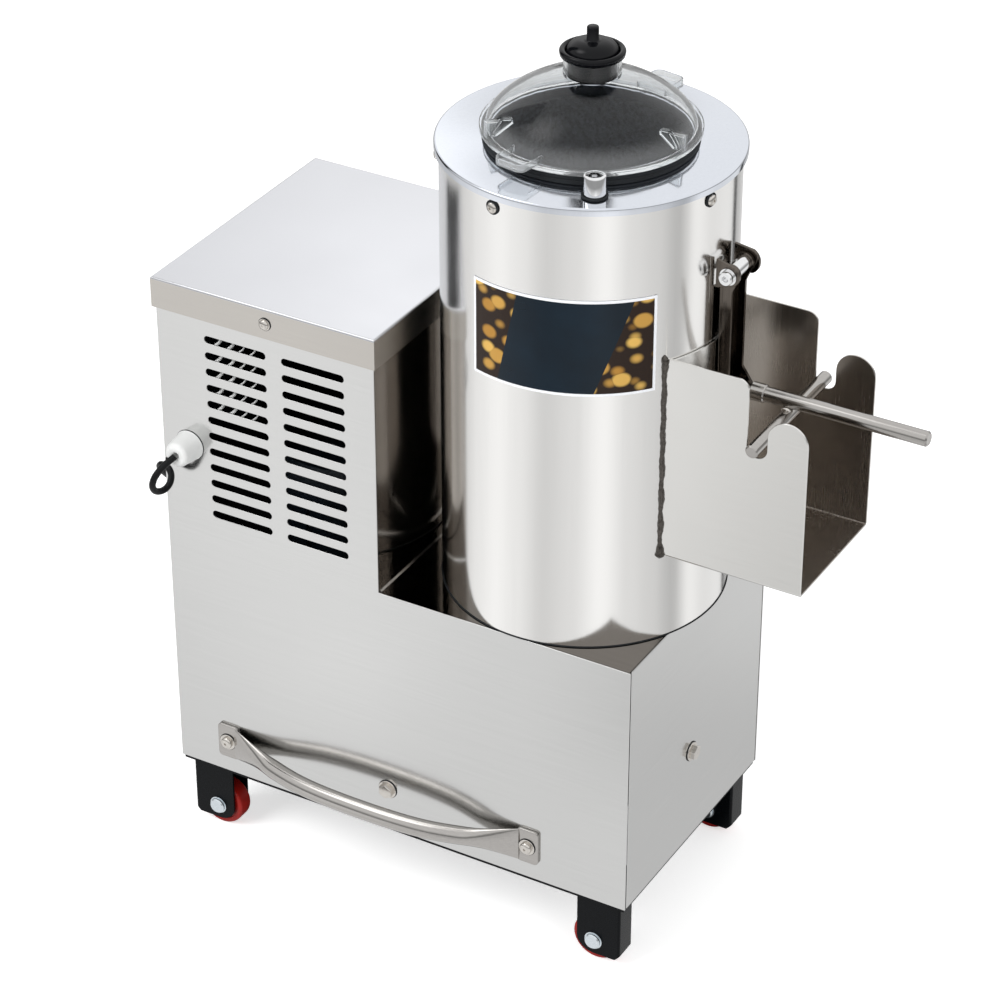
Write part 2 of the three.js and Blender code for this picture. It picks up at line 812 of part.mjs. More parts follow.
function hingeBracket() {
  const inner = drumRadius + fitGap;
  const pad = tubeAround(inner, inner + bracketSheet, hingeZ - bracketHalfHeight,
    hingeZ + bracketHalfHeight).intersect(box(drumX, drumX + ringRadius,
    drumY - bracketHalfWidth, drumY + bracketHalfWidth, lowHeight, ringTop));
  const ear = new THREE.Shape();
  ear.moveTo(drumX + drumRadius / 2, hingeZ - earRadius);
  ear.absarc(hingeX, hingeZ, earRadius, -Math.PI / 2, Math.PI / 2, false);
  ear.lineTo(drumX + drumRadius / 2, hingeZ + earRadius);
  const front = sideSlab(ear, drumY - earOuter, drumY - earInner);
  const back = sideSlab(ear, drumY + earInner, drumY + earOuter);
  const drum = discAt(inner, hingeZ - bracketHalfHeight - overrun,
    hingeZ + bracketHalfHeight + overrun);
  const bore = cylinder(hingePinRadius + fitGap, [hingeX, drumY - earOuter - overrun, hingeZ],
    [hingeX, drumY + earOuter + overrun, hingeZ]);
  return front.add(back).subtract(drum).add(pad).subtract(bore);
}

function hingePin() {
  const face = earOuter + fitGap;
  const nutEnd = drumY - face - pinNutHeight;
  const headEnd = drumY + face + pinHeadHeight;
  const pin = cylinder(hingePinRadius, [hingeX, nutEnd, hingeZ], [hingeX, headEnd, hingeZ]);
  const head = cylinder(pinHeadRadius, [hingeX, drumY + face, hingeZ], [hingeX, headEnd, hingeZ]);
  const nut = cylinder(pinNutRadius, [hingeX, drumY - face, hingeZ], [hingeX, nutEnd, hingeZ]);
  return pin.add(head).add(nut);
}

function latchPin() {
  const face = armHalfWidth + fitGap;
  const end = face + latchHeadHeight;
  const at = (radius, from, to) => cylinder(radius, [latchX, drumY + from, latchZ],
    [latchX, drumY + to, latchZ]);
  return at(latchPinRadius, -end, end).add(at(latchHeadRadius, -end, -face))
    .add(at(latchHeadRadius, face, end));
}

// Handle rod: a heel on the latch pivot, a collar and a round bar
function handleRod() {
  const half = armHalfWidth - armSheet - runGap;
  const start = latchX + heelReach;
  const heel = cylinder(heelRadius, [latchX, drumY - half, latchZ], [latchX, drumY + half, latchZ]);
  const lug = sideSlab(outline([
    [latchX, latchZ - heelRadius / 2], [start + collarLength / 2, rodZ - collarRadius / 2],
    [start + collarLength / 2, rodZ + collarRadius / 2], [latchX, latchZ + heelRadius / 2],
  ]), drumY - heelRadius / 2, drumY + heelRadius / 2);
  const collar = cylinder(collarRadius, [start, drumY, rodZ], [start + collarLength, drumY, rodZ]);
  const rod = cylinder(rodRadius, [start, drumY, rodZ], [rodEnd, drumY, rodZ], innerSides);
  const bore = cylinder(latchPinRadius + fitGap, [latchX, drumY - half - overrun, latchZ],
    [latchX, drumY + half + overrun, latchZ]);
  return heel.add(lug).add(collar).add(rod).subtract(bore);
}

function crossBar() {
  return cylinder(barRadius, [barX, wallFront - barOverhang, barZ],
    [barX, wallBack + barOverhang, barZ], innerSides);
}

// Pull handle: a bowed tube whose flat ends are bolted to the front panel
const handleShares = [0, 0.1, 0.3, 0.5, 0.7, 0.9, 1];
const bowShares = [0.12, 0.34, 0.88, 1, 0.88, 0.34, 0.12];

function handleTube() {
  const points = handleShares.map((share, i) => new THREE.Vector3(
    handleLeft + share * (handleRight - handleLeft), -handleReach * bowShares[i], handleZ));
  const section = new THREE.Shape().absarc(0, 0, handleRadius, 0, 2 * Math.PI);
  return new THREE.ExtrudeGeometry(section, {
    steps: handleSteps, curveSegments: handleSides / 2, bevelEnabled: false,
    extrudePath: new THREE.CatmullRomCurve3(points),
  });
}

function pullHandle() {
  const face = -fitGap;
  let handle = toSolid(handleTube());
  const wide = box(0, bodyLength, face, bodyDepth, 0, lowHeight);
  handle = handle.subtract(wide);
  for (const x of [handleLeft, handleRight]) {
    const plate = roundedOutline(x - handlePlateWidth / 2, x + handlePlateWidth / 2,
      handleZ - handlePlateHeight / 2, handleZ + handlePlateHeight / 2, handlePlateCorner);
    handle = handle.add(sideSlab(plate, face - handlePlateSheet, face));
    const seat = face - handlePlateSheet - overrun - handleReach;
    handle = handle.subtract(cylinder(washerRadius + runGap, [x, seat, handleZ],
      [x, face - handlePlateSheet, handleZ]));
  }
  return handle;
}

// Bolt head with its washer, on a face at `start`, pointing along `direction`.
function boltOn(start, direction, radius = boltRadius, washer = washerRadius) {
  const at = (distance) => start.map((value, i) => value + direction[i] * distance);
  const ring = cylinder(washer, at(fitGap), at(fitGap + washerHeight));
  return ring.add(cylinder(radius, at(fitGap), at(fitGap + washerHeight + boltHeight), hexSides));
}

// Drive: motor on its stand, pulleys, belt, shaft and bearings
function motorStand() {
  const base = angleThickness - baseDrop + fitGap;
  const [x0, x1] = [motorX - standHalfWidth, motorX + standHalfWidth];
  const [y0, y1] = [drumY - standHalfDepth, drumY + standHalfDepth];
  const top = box(x0, x1, y0, y1, standTop - standSheet, standTop);
  const leftLeg = box(x0, x0 + standSheet, y0, y1, base, standTop);
  const rightFront = box(x1 - standSheet, x1, y0, y0 + standPost, base, standTop);
  const rightBack = box(x1 - standSheet, x1, y1 - standPost, y1, base, standTop);
  const hole = cylinder(motorShaftRadius + runGap, [motorX, drumY, standTop - standSheet - overrun],
    [motorX, drumY, standTop + overrun]);
  return top.add(leftLeg).add(rightFront).add(rightBack).subtract(hole);
}

function motorBody() {
  const base = standTop + fitGap;
  const flange = motorRadius + motorFin;
  let body = discAt(motorRadius, base, base + motorHeight, motorX, drumY, innerSides);
  const foot = discAt(flange, base, base + standSheet * 2, motorX, drumY, innerSides);
  body = body.add(foot);
  for (let i = 0; i < motorFins; i += 1) {
    const turn = (i / motorFins) * 2 * Math.PI;
    const fin = new THREE.BoxGeometry(motorFin * 2, motorFin / 2, motorHeight - motorFin * 6);
    fin.translate(motorRadius, 0, 0).rotateZ(turn);
    body = body.add(toSolid(fin.translate(motorX, drumY, base + motorHeight / 2)));
  }
  const bore = cylinder(motorShaftRadius + runGap, [motorX, drumY, base - overrun],
    [motorX, drumY, base + motorShaftRadius * 2]);
  return body.add(fanCover()).subtract(bore);
}

function fanCover() {
  const base = standTop + motorHeight;
  const top = base + fanCoverHeight;
  const soft = motorFin * 2;
  const outer = motorRadius + motorFin / 2;
  return turned([[0, base], [outer, base], [outer, top - soft], [outer - soft, top], [0, top]],
    motorX, drumY, innerSides);
}

function motorShaft() {
  return cylinder(motorShaftRadius, [motorX, drumY, shaftBottom],
    [motorX, drumY, standTop + motorShaftRadius]);
}

// Grooved pulley: the belt lies in the groove with its back just proud of the flanges.
function pulley(radius, bore, x) {
  const half = beltHeight / 2 + runGap;
  const rim = radius + beltThickness / 2 - runGap;
  const root = radius - beltThickness / 2 - fitGap;
  const edge = half + pulleyFlange;
  const level = pulleyLevel;
  return turned([
    [bore + fitGap, level - edge], [rim, level - edge], [rim, level - half],
    [root, level - half], [root, level + half], [rim, level + half], [rim, level + edge],
    [bore + fitGap, level + edge],
  ], x, drumY, innerSides);
}

// Outline of a belt strand round both pulleys, grown by `offset` from the pitch line
function beltOutline(offset) {
  const span = drumX - motorX;
  const tilt = Math.asin((drivenRadius - driveRadius) / span);
  const shape = new THREE.Shape();
  const quarter = Math.PI / 2;
  shape.absarc(drumX, drumY, drivenRadius + offset, -quarter - tilt, quarter + tilt, false);
  shape.absarc(motorX, drumY, driveRadius + offset, quarter + tilt, 3 * quarter - tilt, false);
  return shape;
}

function belt() {
  const strand = (offset, grow) => {
    const geometry = new THREE.ExtrudeGeometry(beltOutline(offset), {
      depth: beltHeight + 2 * grow, bevelEnabled: false, curveSegments: beltSteps,
    });
    return toSolid(geometry.translate(0, 0, pulleyLevel - beltHeight / 2 - grow));
  };
  return strand(beltThickness / 2, 0).subtract(strand(-beltThickness / 2, overrun));
}

function bearingHousing() {
  const outer = bearingRadius + housingWall;
  const seat = deckTop + fitGap;
  const top = floorLevel - floorSheet - fitGap;
  const bore = bearingRadius + fitGap;
  return turned([
    [bore, housingBottom], [outer, housingBottom], [outer, seat], [housingFlange, seat],
    [housingFlange, seat + housingFlangeSheet], [outer, seat + housingFlangeSheet],
    [outer, top], [bore, top],
  ], drumX, drumY, innerSides);
}

function bearingAt(z) {
  return tubeAround(shaftRadius + fitGap, bearingRadius, z, z + bearingHeight,
    drumX, drumY, innerSides);
}

const sealBase = floorLevel - floorSheet - fitGap - sealHeight;

function driveShaft() {
  const collarTop = discLevel - fitGap;
  return turned([
    [0, shaftBottom], [shaftRadius, shaftBottom], [shaftRadius, shaftTop], [0, shaftTop],
  ], drumX, drumY, innerSides).add(discAt(shaftRadius + armSheet, collarTop - armSheet,
    collarTop, drumX, drumY, innerSides));
}

// Peeling disc: a shallow dish with two raised waves that toss the potatoes
function abrasiveDisc() {
  const hole = shaftRadius + fitGap;
  const top = discLevel + discThickness;
  let disc = turned([
    [hole, discLevel], [discRadius, discLevel], [discRadius, top + discWave / 2],
    [discRadius * discRampShare, top], [discHubRadius, top],
    [discHubRadius, top + discThickness / 2], [hole, top + discThickness / 2],
  ], drumX, drumY, lidSides);
  for (const side of [-1, 1]) {
    const x = drumX + side * discRadius / 2;
    const level = top - discWave * waveSinkShare;
    const wave = cylinder(discWave, [x, drumY - discRadius / 3, level],
      [x, drumY + discRadius / 3, level]);
    disc = disc.add(wave.subtract(box(x - overrun * discWave, x + overrun * discWave,
      drumY - discRadius, drumY + discRadius, discLevel - 2 * discWave, discLevel + fitGap)));
  }
  return disc;
}

// Mains lead: gland, a free run down the left side, a coil behind the body and a plug
function cableGland() {
  const profile = [
    [0, 0], [glandFlangeRadius, 0], [glandFlangeRadius, glandFlangeHeight],
    [glandRadius, glandFlangeHeight + glandNose / 2], [glandRadius, glandReach - glandNose],
    [glandRadius - glandNose / 2, glandReach - glandNose / 3],
    [glandNose, glandReach], [0, glandReach],
  ];
  const points = profile.map(([r, h]) => new THREE.Vector2(r, h));
  const geometry = new THREE.LatheGeometry(points, smallSides);
  return toSolid(geometry.rotateX(Math.PI).translate(glandX, -fitGap, glandZ));
}

const leadFloor = wheelBottom + leadRadius;
const leadStart = -glandReach - 2 * fitGap;
const leadEnd = coilX - 2 * leadRadius;

// The free run's route, chosen by hand: out of the gland, round the left edge and down to the floor
const leadRoute = [
  [29.5, leadStart, 369], [29.5, -34, 368.6], [26.6, -43, 365.5], [20.5, -49.2, 360],
  [12.5, -50.5, 353.5], [4.5, -45.5, 347.5], [-3, -34.5, 341.5], [-9.5, -19, 334.5],
  [-13.5, -1, 325.5], [-14, 18, 311], [-13, 38, 288], [-12.5, 58, 252], [-12.5, 76, 205],
  [-12.5, 92, 150], [-12.5, 104, 90], [-12.5, 112, 30], [-12.5, 119, -20], [-12.5, 128.5, -53],
  [-12.5, 141, -67.5], [-12.5, 156, -73.6], [-12.5, 176, leadFloor], [-13.5, 220, leadFloor],
  [-15, 260, leadFloor], [-13, 300, leadFloor], [-2, 338, leadFloor], [16, 368, leadFloor],
  [40, 385, leadFloor], [56, 388, leadFloor], [66, 388, leadFloor], [leadEnd, 388, leadFloor],
].map((point) => new THREE.Vector3(...point));

function mainsLead() {
  const curve = new THREE.CatmullRomCurve3(leadRoute, false, 'centripetal');
  const section = new THREE.Shape().absarc(0, 0, leadRadius, 0, 2 * Math.PI);
  console.log('mains lead, free run, mm:', curve.getLength().toFixed(1));
  return toSolid(new THREE.ExtrudeGeometry(section, {
    steps: leadSteps, curveSegments: leadSides / 2, bevelEnabled: false, extrudePath: curve,
  }));
}

// Coil: spirals in on the floor, climbs a layer in half a turn and spirals out on top,
// then a short tail comes down to the plug.
function coilPoints() {
  const points = [];
  const steps = coilTurnsPerLayer * coilSteps;
  const climb = coilSteps / 2;
  const place = (turn, radius, z) => points.push(new THREE.Vector3(
    coilX + radius * Math.sin(turn), coilY + radius * Math.cos(turn), z));
  const step = (2 * Math.PI) / coilSteps;
  points.push(new THREE.Vector3(leadEnd + fitGap, coilY + coilRadius, leadFloor));
  points.push(new THREE.Vector3(coilX, coilY + coilRadius, leadFloor));
  for (let i = 1; i <= steps; i += 1) {
    place(i * step, coilRadius - coilPitch * (i / coilSteps), leadFloor);
  }
  const inner = coilRadius - coilPitch * coilTurnsPerLayer;
  for (let i = 1; i <= climb; i += 1) {
    const share = (1 - Math.cos((Math.PI * i) / climb)) / 2;
    const dip = coilPitch * Math.sin((Math.PI * i) / climb) / 4;
    place((steps + i) * step, inner - dip, leadFloor + coilPitch * share);
  }
  for (let i = 1; i <= steps; i += 1) {
    place((steps + climb + i) * step, inner + coilPitch * (i / coilSteps), leadFloor + coilPitch);
  }
  return points;
}

const tailShares = [[0.25, 1], [0.5, 0.88], [0.75, 0.55], [1, 0.2], [1.25, 0.03], [1.5, 0], [1.8, 0]];
const tailReach = 34;

function coilRoute() {
  const points = coilPoints();
  const last = points[points.length - 1];
  const along = last.clone().sub(points[points.length - 2]).setZ(0).normalize();
  for (const [share, height] of tailShares) {
    const point = last.clone().addScaledVector(along, share * tailReach);
    points.push(point.setZ(leadFloor + coilPitch * height));
  }
  return { points, along };
}

// Least distance between stretches of a tube that aren't neighbours along it
function leastGap(points, radius) {
  const apart = coilSteps / 2;
  let least = Infinity;
  for (let i = 0; i < points.length; i += 1) {
    for (let j = i + apart; j < points.length; j += 1) {
      least = Math.min(least, points[i].distanceTo(points[j]));
    }
  }
  return least - 2 * radius;
}

function routeLength(points) {
  return points.slice(1).reduce((sum, point, i) => sum + point.distanceTo(points[i]), 0);
}

// A closed tube of few sides through the given points
function tubeThrough(points, radius, sides) {
  const ups = new THREE.Vector3(0, 0, 1);
  const vertices = [];
  const faces = [];
  points.forEach((point, i) => {
    const before = points[Math.max(i - 1, 0)];
    const after = points[Math.min(i + 1, points.length - 1)];
    const along = after.clone().sub(before).normalize();
    const across = new THREE.Vector3().crossVectors(along, ups).normalize();
    const up = new THREE.Vector3().crossVectors(across, along);
    for (let k = 0; k < sides; k += 1) {
      const turn = ((k + 1 / 2) / sides) * 2 * Math.PI;
      const corner = point.clone().addScaledVector(across, radius * Math.cos(turn));
      corner.addScaledVector(up, radius * Math.sin(turn));
      vertices.push(corner.x, corner.y, corner.z);
    }
  });
  for (let i = 0; i + 1 < points.length; i += 1) {
    for (let k = 0; k < sides; k += 1) {
      const [a, b] = [i * sides + k, i * sides + ((k + 1) % sides)];
      faces.push(a, b, a + sides, b, b + sides, a + sides);
    }
  }
  const end = (points.length - 1) * sides;
  for (let k = 1; k + 1 < sides; k += 1) {
    faces.push(0, k + 1, k, end, end + k, end + k + 1);
  }
  const geometry = new THREE.BufferGeometry();
  geometry.setAttribute('position', new THREE.Float32BufferAttribute(vertices, 3));
  geometry.setIndex(faces);
  return toSolid(geometry);
}

function leadCoil() {
  const { points } = coilRoute();
  console.log('lead coil, length mm:', routeLength(points).toFixed(1),
    'least gap to itself mm:', leastGap(points, leadRadius).toFixed(2));
  return tubeThrough(points, leadRadius, coilSides);
}

// Two-pin plug lying where the lead ends; built along +x, then turned to the lead
function leadPlug() {
  const { points, along } = coilRoute();
  const end = points[points.length - 1];
  const body = roundedOutline(plugSleeve, plugSleeve + plugLength, -plugWidth / 2, plugWidth / 2,
    plugWidth / 4);
  const base = wheelBottom + fitGap;
  let solid = planSlab(body, base, base + plugThickness);
  const axis = base + plugThickness / 2;
  const neck = leadFloor;
  solid = solid.add(cylinder(plugSleeveRadius - fitGap, [fitGap, 0, neck + plugSleeveRadius / 2],
    [plugSleeve + plugWidth / 4, 0, axis]));
  for (const side of [-1, 1]) {
    const y = side * plugPinSpacing / 2;
    const start = plugSleeve + plugLength - plugPinRadius;
    solid = solid.add(cylinder(plugPinRadius, [start, y, axis], [start + plugPinLength, y, axis],
      smallSides / 2));
  }
  const geometry = toGeometry(solid).rotateZ(Math.atan2(along.y, along.x));
  return toSolid(geometry.translate(end.x, end.y, 0));
}

// Assembly
piece('front_panel', frontPanel(), satinSteel());
piece('rear_wrap_panel', rearWrap(), satinSteel());
piece('right_panel', rightPanel(), satinSteel());
piece('step_panel', stepPanel(), satinSteel());
piece('deck_plate', deckPlate(), satinSteel());
piece('cabinet_lid', cabinetLid(), satinSteel());
piece('base_frame', baseFrame(), darkSteel());
addCasters();

piece('drum_shell', drumShell(), polishedSteel());
piece('drum_lining', drumLining(), finish(0x3a3d40, 0.95, 0));
piece('drum_floor', drumFloor(), satinSteel());
piece('top_ring', topRing(), polishedSteel());
const screwNames = ['left', 'front', 'right'];
drumScrewAngles.forEach((angle, i) => {
  piece(`drum_screw_${screwNames[i]}`, drumScrew(angle), chromeSteel());
});
piece('lid_gasket', lidGasket(), finish(0x17181a, 0.7, 0));
piece('dome_lid', domeLid(), clearPlastic());
piece('lid_plug', lidPlug(), blackPlastic());
piece('lid_post', lidPost(), chromeSteel());
piece('label_plate', labelPlate(), finish(0x16233f, 0.4, 0));

piece('chute', chute(), satinSteel());
piece('door_plate', doorPlate(), satinSteel());
piece('door_arm', doorArm(), satinSteel());
piece('hinge_bracket', hingeBracket(), satinSteel());
piece('hinge_pin', hingePin(), chromeSteel());
piece('latch_pin', latchPin(), chromeSteel());
piece('handle_rod', handleRod(), satinSteel());
piece('cross_bar', crossBar(), satinSteel());

piece('pull_handle', pullHandle(), satinSteel());
const plateFace = -fitGap - handlePlateSheet;
piece('handle_bolt_left', boltOn([handleLeft, plateFace, handleZ], [0, -1, 0]), chromeSteel());
piece('handle_bolt_right', boltOn([handleRight, plateFace, handleZ], [0, -1, 0]), chromeSteel());
const frontBoltPlace = [cabinetWidth + frontBoltShift, 0, handleZ + frontBoltRise];
piece('front_bolt', boltOn(frontBoltPlace, [0, -1, 0]), chromeSteel());
piece('side_bolt', boltOn([bodyLength, sideBoltY, sideBoltZ], [1, 0, 0]), chromeSteel());
const lidScrewPlace = [motorX + lidScrewShift, -lidOverhang, cabinetHeight - lidSkirt / 2];
piece('lid_screw', boltOn(lidScrewPlace, [0, -1, 0], drumScrewRadius, boltRadius), chromeSteel());

piece('motor_stand', motorStand(), darkSteel());
piece('motor_body', motorBody(), finish(0x2e4a63, 0.5, 0.3));
piece('motor_shaft', motorShaft(), satinSteel());
piece('drive_pulley', pulley(driveRadius, motorShaftRadius, motorX), finish(0x8c8f92, 0.5, 0.8));
piece('driven_pulley', pulley(drivenRadius, shaftRadius, drumX), finish(0x8c8f92, 0.5, 0.8));
piece('drive_belt', belt(), finish(0x151515, 0.8, 0));
piece('bearing_housing', bearingHousing(), finish(0x7a7d80, 0.5, 0.8));
piece('upper_bearing', bearingAt(sealBase - fitGap - bearingHeight), chromeSteel());
piece('lower_bearing', bearingAt(housingBottom + fitGap), chromeSteel());
piece('drive_shaft', driveShaft(), satinSteel());
piece('peeling_disc', abrasiveDisc(), finish(0x3a3d40, 0.95, 0));

piece('cable_gland', cableGland(), finish(0xeeeeec, 0.45, 0));
piece('mains_lead', mainsLead(), blackPlastic());
piece('lead_coil', leadCoil(), blackPlastic());
piece('lead_plug', leadPlug(), blackPlastic());

export default machine;
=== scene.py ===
import math

import bmesh
import bpy
from mathutils import Matrix, Vector


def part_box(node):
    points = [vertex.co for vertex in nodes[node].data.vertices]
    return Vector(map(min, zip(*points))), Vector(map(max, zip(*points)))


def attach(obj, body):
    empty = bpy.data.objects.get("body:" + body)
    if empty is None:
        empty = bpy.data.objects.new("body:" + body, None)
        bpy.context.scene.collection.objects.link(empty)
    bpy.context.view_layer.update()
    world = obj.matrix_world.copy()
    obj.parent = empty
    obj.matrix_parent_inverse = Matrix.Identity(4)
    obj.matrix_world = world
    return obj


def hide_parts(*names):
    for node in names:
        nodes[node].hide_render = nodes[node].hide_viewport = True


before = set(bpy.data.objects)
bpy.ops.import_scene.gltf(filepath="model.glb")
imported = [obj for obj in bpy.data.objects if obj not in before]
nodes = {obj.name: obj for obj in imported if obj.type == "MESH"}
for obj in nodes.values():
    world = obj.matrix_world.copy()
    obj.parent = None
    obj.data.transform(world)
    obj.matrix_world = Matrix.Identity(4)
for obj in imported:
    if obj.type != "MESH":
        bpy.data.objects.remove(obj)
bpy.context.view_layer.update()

# Everything below is drawn in millimetres from the body's lower front left corner:
# x to the right, y to the back, z up. toRow carries it into the CAD's own place.
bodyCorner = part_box("front_panel")[0]
toRow = Matrix.Translation(bodyCorner) @ Matrix.Scale(0.001, 4)


# a dictionary of a piece's adjustable values, which also reads as v.name
class Values(dict):
    __getattr__ = dict.__getitem__


# The drum's axis and the main levels, which many pieces share
body = Values(length=500, depth=276, low=270, cabinet=235, height=541, drumX=380, drumY=134,
              drumRadius=133.5, ringTop=718, floor=-78.2904)
drumPoint = Vector((body.drumX, body.drumY, 0))


def row(point):
    return toRow @ Vector(point)


def linear(hexText):
    parts = [int(hexText[i:i + 2], 16) / 255 for i in (1, 3, 5)]
    return tuple(p / 12.92 if p <= 0.04045 else ((p + 0.055) / 1.055) ** 2.4 for p in parts) + (1,)


def addObject(name, data):
    made = bpy.data.objects.new(name, data)
    bpy.context.scene.collection.objects.link(made)
    return made


# turns z to point along a direction
def aim(direction):
    return Vector(direction).to_track_quat("Z", "Y")


def facing(point, normal):
    return Matrix.Translation(Vector(point)) @ aim(normal).to_matrix().to_4x4()


# ---- camera, straight to the photograph's frame ----
view = Values(azimuth=29.89, elevation=32.07, distance=3.294, lens=125.5, sensor=36,
              target=(286, 137.9, 313), reach=50)


def addCamera(v):
    az, el = math.radians(v.azimuth), math.radians(v.elevation)
    back = Vector((math.sin(az) * math.cos(el), -math.cos(az) * math.cos(el), math.sin(el)))
    data = bpy.data.cameras.new("camera")
    data.lens, data.sensor_width, data.clip_end = v.lens, v.sensor, v.reach
    camera = addObject("camera", data)
    camera.location = row(v.target) + back * v.distance
    camera.rotation_euler = aim(back).to_euler()
    bpy.context.scene.camera = camera


addCamera(view)
print("camera placed")


# ---- materials ----
def setInputs(node, inputs):
    for name, value in inputs.items():
        if isinstance(value, bpy.types.NodeSocket):
            node.id_data.links.new(value, node.inputs[name])
        else:
            node.inputs[name].default_value = value


def addNode(material, kind, inputs=None, **settings):
    node = material.node_tree.nodes.new("ShaderNode" + kind)
    for name, value in settings.items():
        setattr(node, name, value)
    setInputs(node, inputs or {})
    return node


# the nodes used most, each giving its output
def objectPlace(material):
    return addNode(material, "TexCoord").outputs["Object"]


def maths(material, operation, *values):
    return addNode(material, "Math", dict(enumerate(values)), operation=operation).outputs[0]


def vectorMaths(material, operation, *values):
    node = addNode(material, "VectorMath", dict(enumerate(values)), operation=operation)
    return node.outputs["Value" if operation in ("LENGTH", "DISTANCE") else "Vector"]


def axesOf(material, vector):
    return addNode(material, "SeparateXYZ", {"Vector": vector}).outputs


def spread(material, value, low, high, toLow=0.0, toHigh=1.0, soft=False):
    return addNode(material, "MapRange", {
        "Value": value, "From Min": low, "From Max": high, "To Min": toLow, "To Max": toHigh},
        interpolation_type="SMOOTHSTEP" if soft else "LINEAR").outputs[0]


def mixTone(material, share, *ends):
    first, second = [linear(end) if isinstance(end, str) else end for end in ends]
    return addNode(material, "Mix", {0: share, 6: first, 7: second}, data_type="RGBA").outputs[2]


def noise(material, place, size, detail=2.0, roughness=0.5):
    return addNode(material, "TexNoise", {
        "Vector": place, "Scale": 1000 / size, "Detail": detail,
        "Roughness": roughness}).outputs["Fac"]


def bump(material, height, strength, distance=0.0001):
    return addNode(material, "Bump", {
        "Height": height, "Strength": strength, "Distance": distance}).outputs["Normal"]


def newMaterial(name, fixed):
    material = bpy.data.materials.new(name)
    material.use_nodes = True
    shader = material.node_tree.nodes["Principled BSDF"]
    setInputs(shader, fixed)
    return material, shader


# How the streaks run: level along x and y, along x only, or up the sheet
levelGrain, alongGrain, upGrain = (0.02, 0.02, 1.0), (0.02, 1.0, 1.0), (1.0, 1.0, 0.02)


# Stainless sheet, satin ground with a fine belt: soft wide reflections and faint streaks
# along the grain. The grit lines are under 0.1 mm, so they are drawn about 1 mm apart.
def sheetSteel(name, dark, light, roughness=(0.16, 0.24), grain=levelGrain, streakGap=1.6,
               cloudSize=120, strength=0.03):
    material, shader = newMaterial(name, {"Metallic": 1.0})
    place = objectPlace(material)
    along = addNode(material, "Mapping", {"Vector": place, "Scale": grain}).outputs["Vector"]
    streak = noise(material, along, streakGap, 3.0, 0.6)
    mixed = maths(material, "MULTIPLY", streak, noise(material, place, cloudSize))
    setInputs(shader, {
        "Base Color": mixTone(material, streak, dark, light),
        "Roughness": spread(material, mixed, 0.12, 0.42, *roughness),
        "Normal": bump(material, streak, strength)})
    return material


# The wrap's inner side is coloured dark and dull: painted shade inside the cabinet. A place more
# than skin inside both the left face and the rear face lies on it.
def paintShadeInside(material, skin=0.001, edge=0.0003):
    shader = material.node_tree.nodes["Principled BSDF"]
    own = vectorMaths(material, "SUBTRACT", objectPlace(material), bodyCorner)
    axes = axesOf(material, own)
    rear = maths(material, "SUBTRACT", body.depth / 1000 - skin, axes["Y"])
    left = maths(material, "SUBTRACT", axes["X"], skin)
    bare = spread(material, maths(material, "MINIMUM", left, rear), 0.0, edge, 1.0, 0.0)
    steel = shader.inputs["Base Color"].links[0].from_socket
    # the dark colour on the inner side is painted shade
    setInputs(shader, {"Base Color": mixTone(material, bare, "#17181A", steel), "Metallic": bare})


frontSteel = sheetSteel("satinStainlessFront", "#CFCFCE", "#D7D7D6", (0.13, 0.20))
# the right side gets a darker copy of the front's steel: painted shade
shadedSideSteel = sheetSteel("shadedStainlessSide", "#C8C8C7", "#D1D1D0")
wrapSteel = sheetSteel("satinStainlessWrap", "#CFCFCE", "#D8D8D7")
paintShadeInside(wrapSteel)
lidSteel = sheetSteel("satinStainlessLid", "#D2D3D7", "#DADBDF", grain=alongGrain)
# the cover's skirt gets a darker, warmer copy of the lid's steel: painted shade on its sides
shadedSkirtSteel = sheetSteel("shadedStainlessSkirt", "#BEBAB5", "#C8C4BE", cloudSize=90)
chuteSteel = sheetSteel("satinStainlessChute", "#DFDEDB", "#E7E6E3", (0.14, 0.24), alongGrain,
                        cloudSize=60, strength=0.025)
# the inner side gets a darker, rougher copy of the chute steel: painted shade inside the trough
shadedChuteInside = sheetSteel("shadedStainlessChuteInside", "#B0A9A2", "#C1BAB3", (0.22, 0.30), (1, 1, 0.03),
                        streakGap=2.0, cloudSize=60, strength=0.0)
rodSteel = sheetSteel("brushedStainlessBar", "#A9A6A3", "#BFBCB8", (0.12, 0.20), (0.03, 1, 1),
                      streakGap=1.2, cloudSize=40, strength=0.04)
# pressed parts of the hinge, in a darker steel
hingeSteel = sheetSteel("darkStainlessHinge", "#4C4640", "#7A736C", (0.10, 0.20), upGrain,
                        cloudSize=30, strength=0.04)
drumSteel = sheetSteel("polishedStainlessDrum", "#ECEBE9", "#F1F0EE", (0.12, 0.18), upGrain,
                       streakGap=2.4, cloudSize=150, strength=0.015)
ringSteel = sheetSteel("mirrorStainlessRing", "#DADEE6", "#E2E6ED", (0.07, 0.12), upGrain,
                       streakGap=2.4, cloudSize=150, strength=0.01)
# the step and the deck get darker copies of the mirror steel: painted shade
shadedStepSteel = sheetSteel("shadedMirrorStep", "#B5B0AB", "#C0BBB6", (0.05, 0.10), upGrain,
                       cloudSize=150, strength=0.01)
shadedDeckSteel = sheetSteel("shadedMirrorDeck", "#716C67", "#807B76", (0.05, 0.11), alongGrain,
                       cloudSize=150, strength=0.01)


# Turned or plated steel: a bright mirror with faint lathe marks that only roughen it a little
def turnedSteel(name, light, dark, low, high):
    material, shader = newMaterial(name, {"Metallic": 1.0})
    marks = noise(material, objectPlace(material), 2.5, 3.0)
    setInputs(shader, {"Base Color": mixTone(material, marks, dark, light),
                       "Roughness": spread(material, marks, 0.3, 0.7, low, high)})
    return material


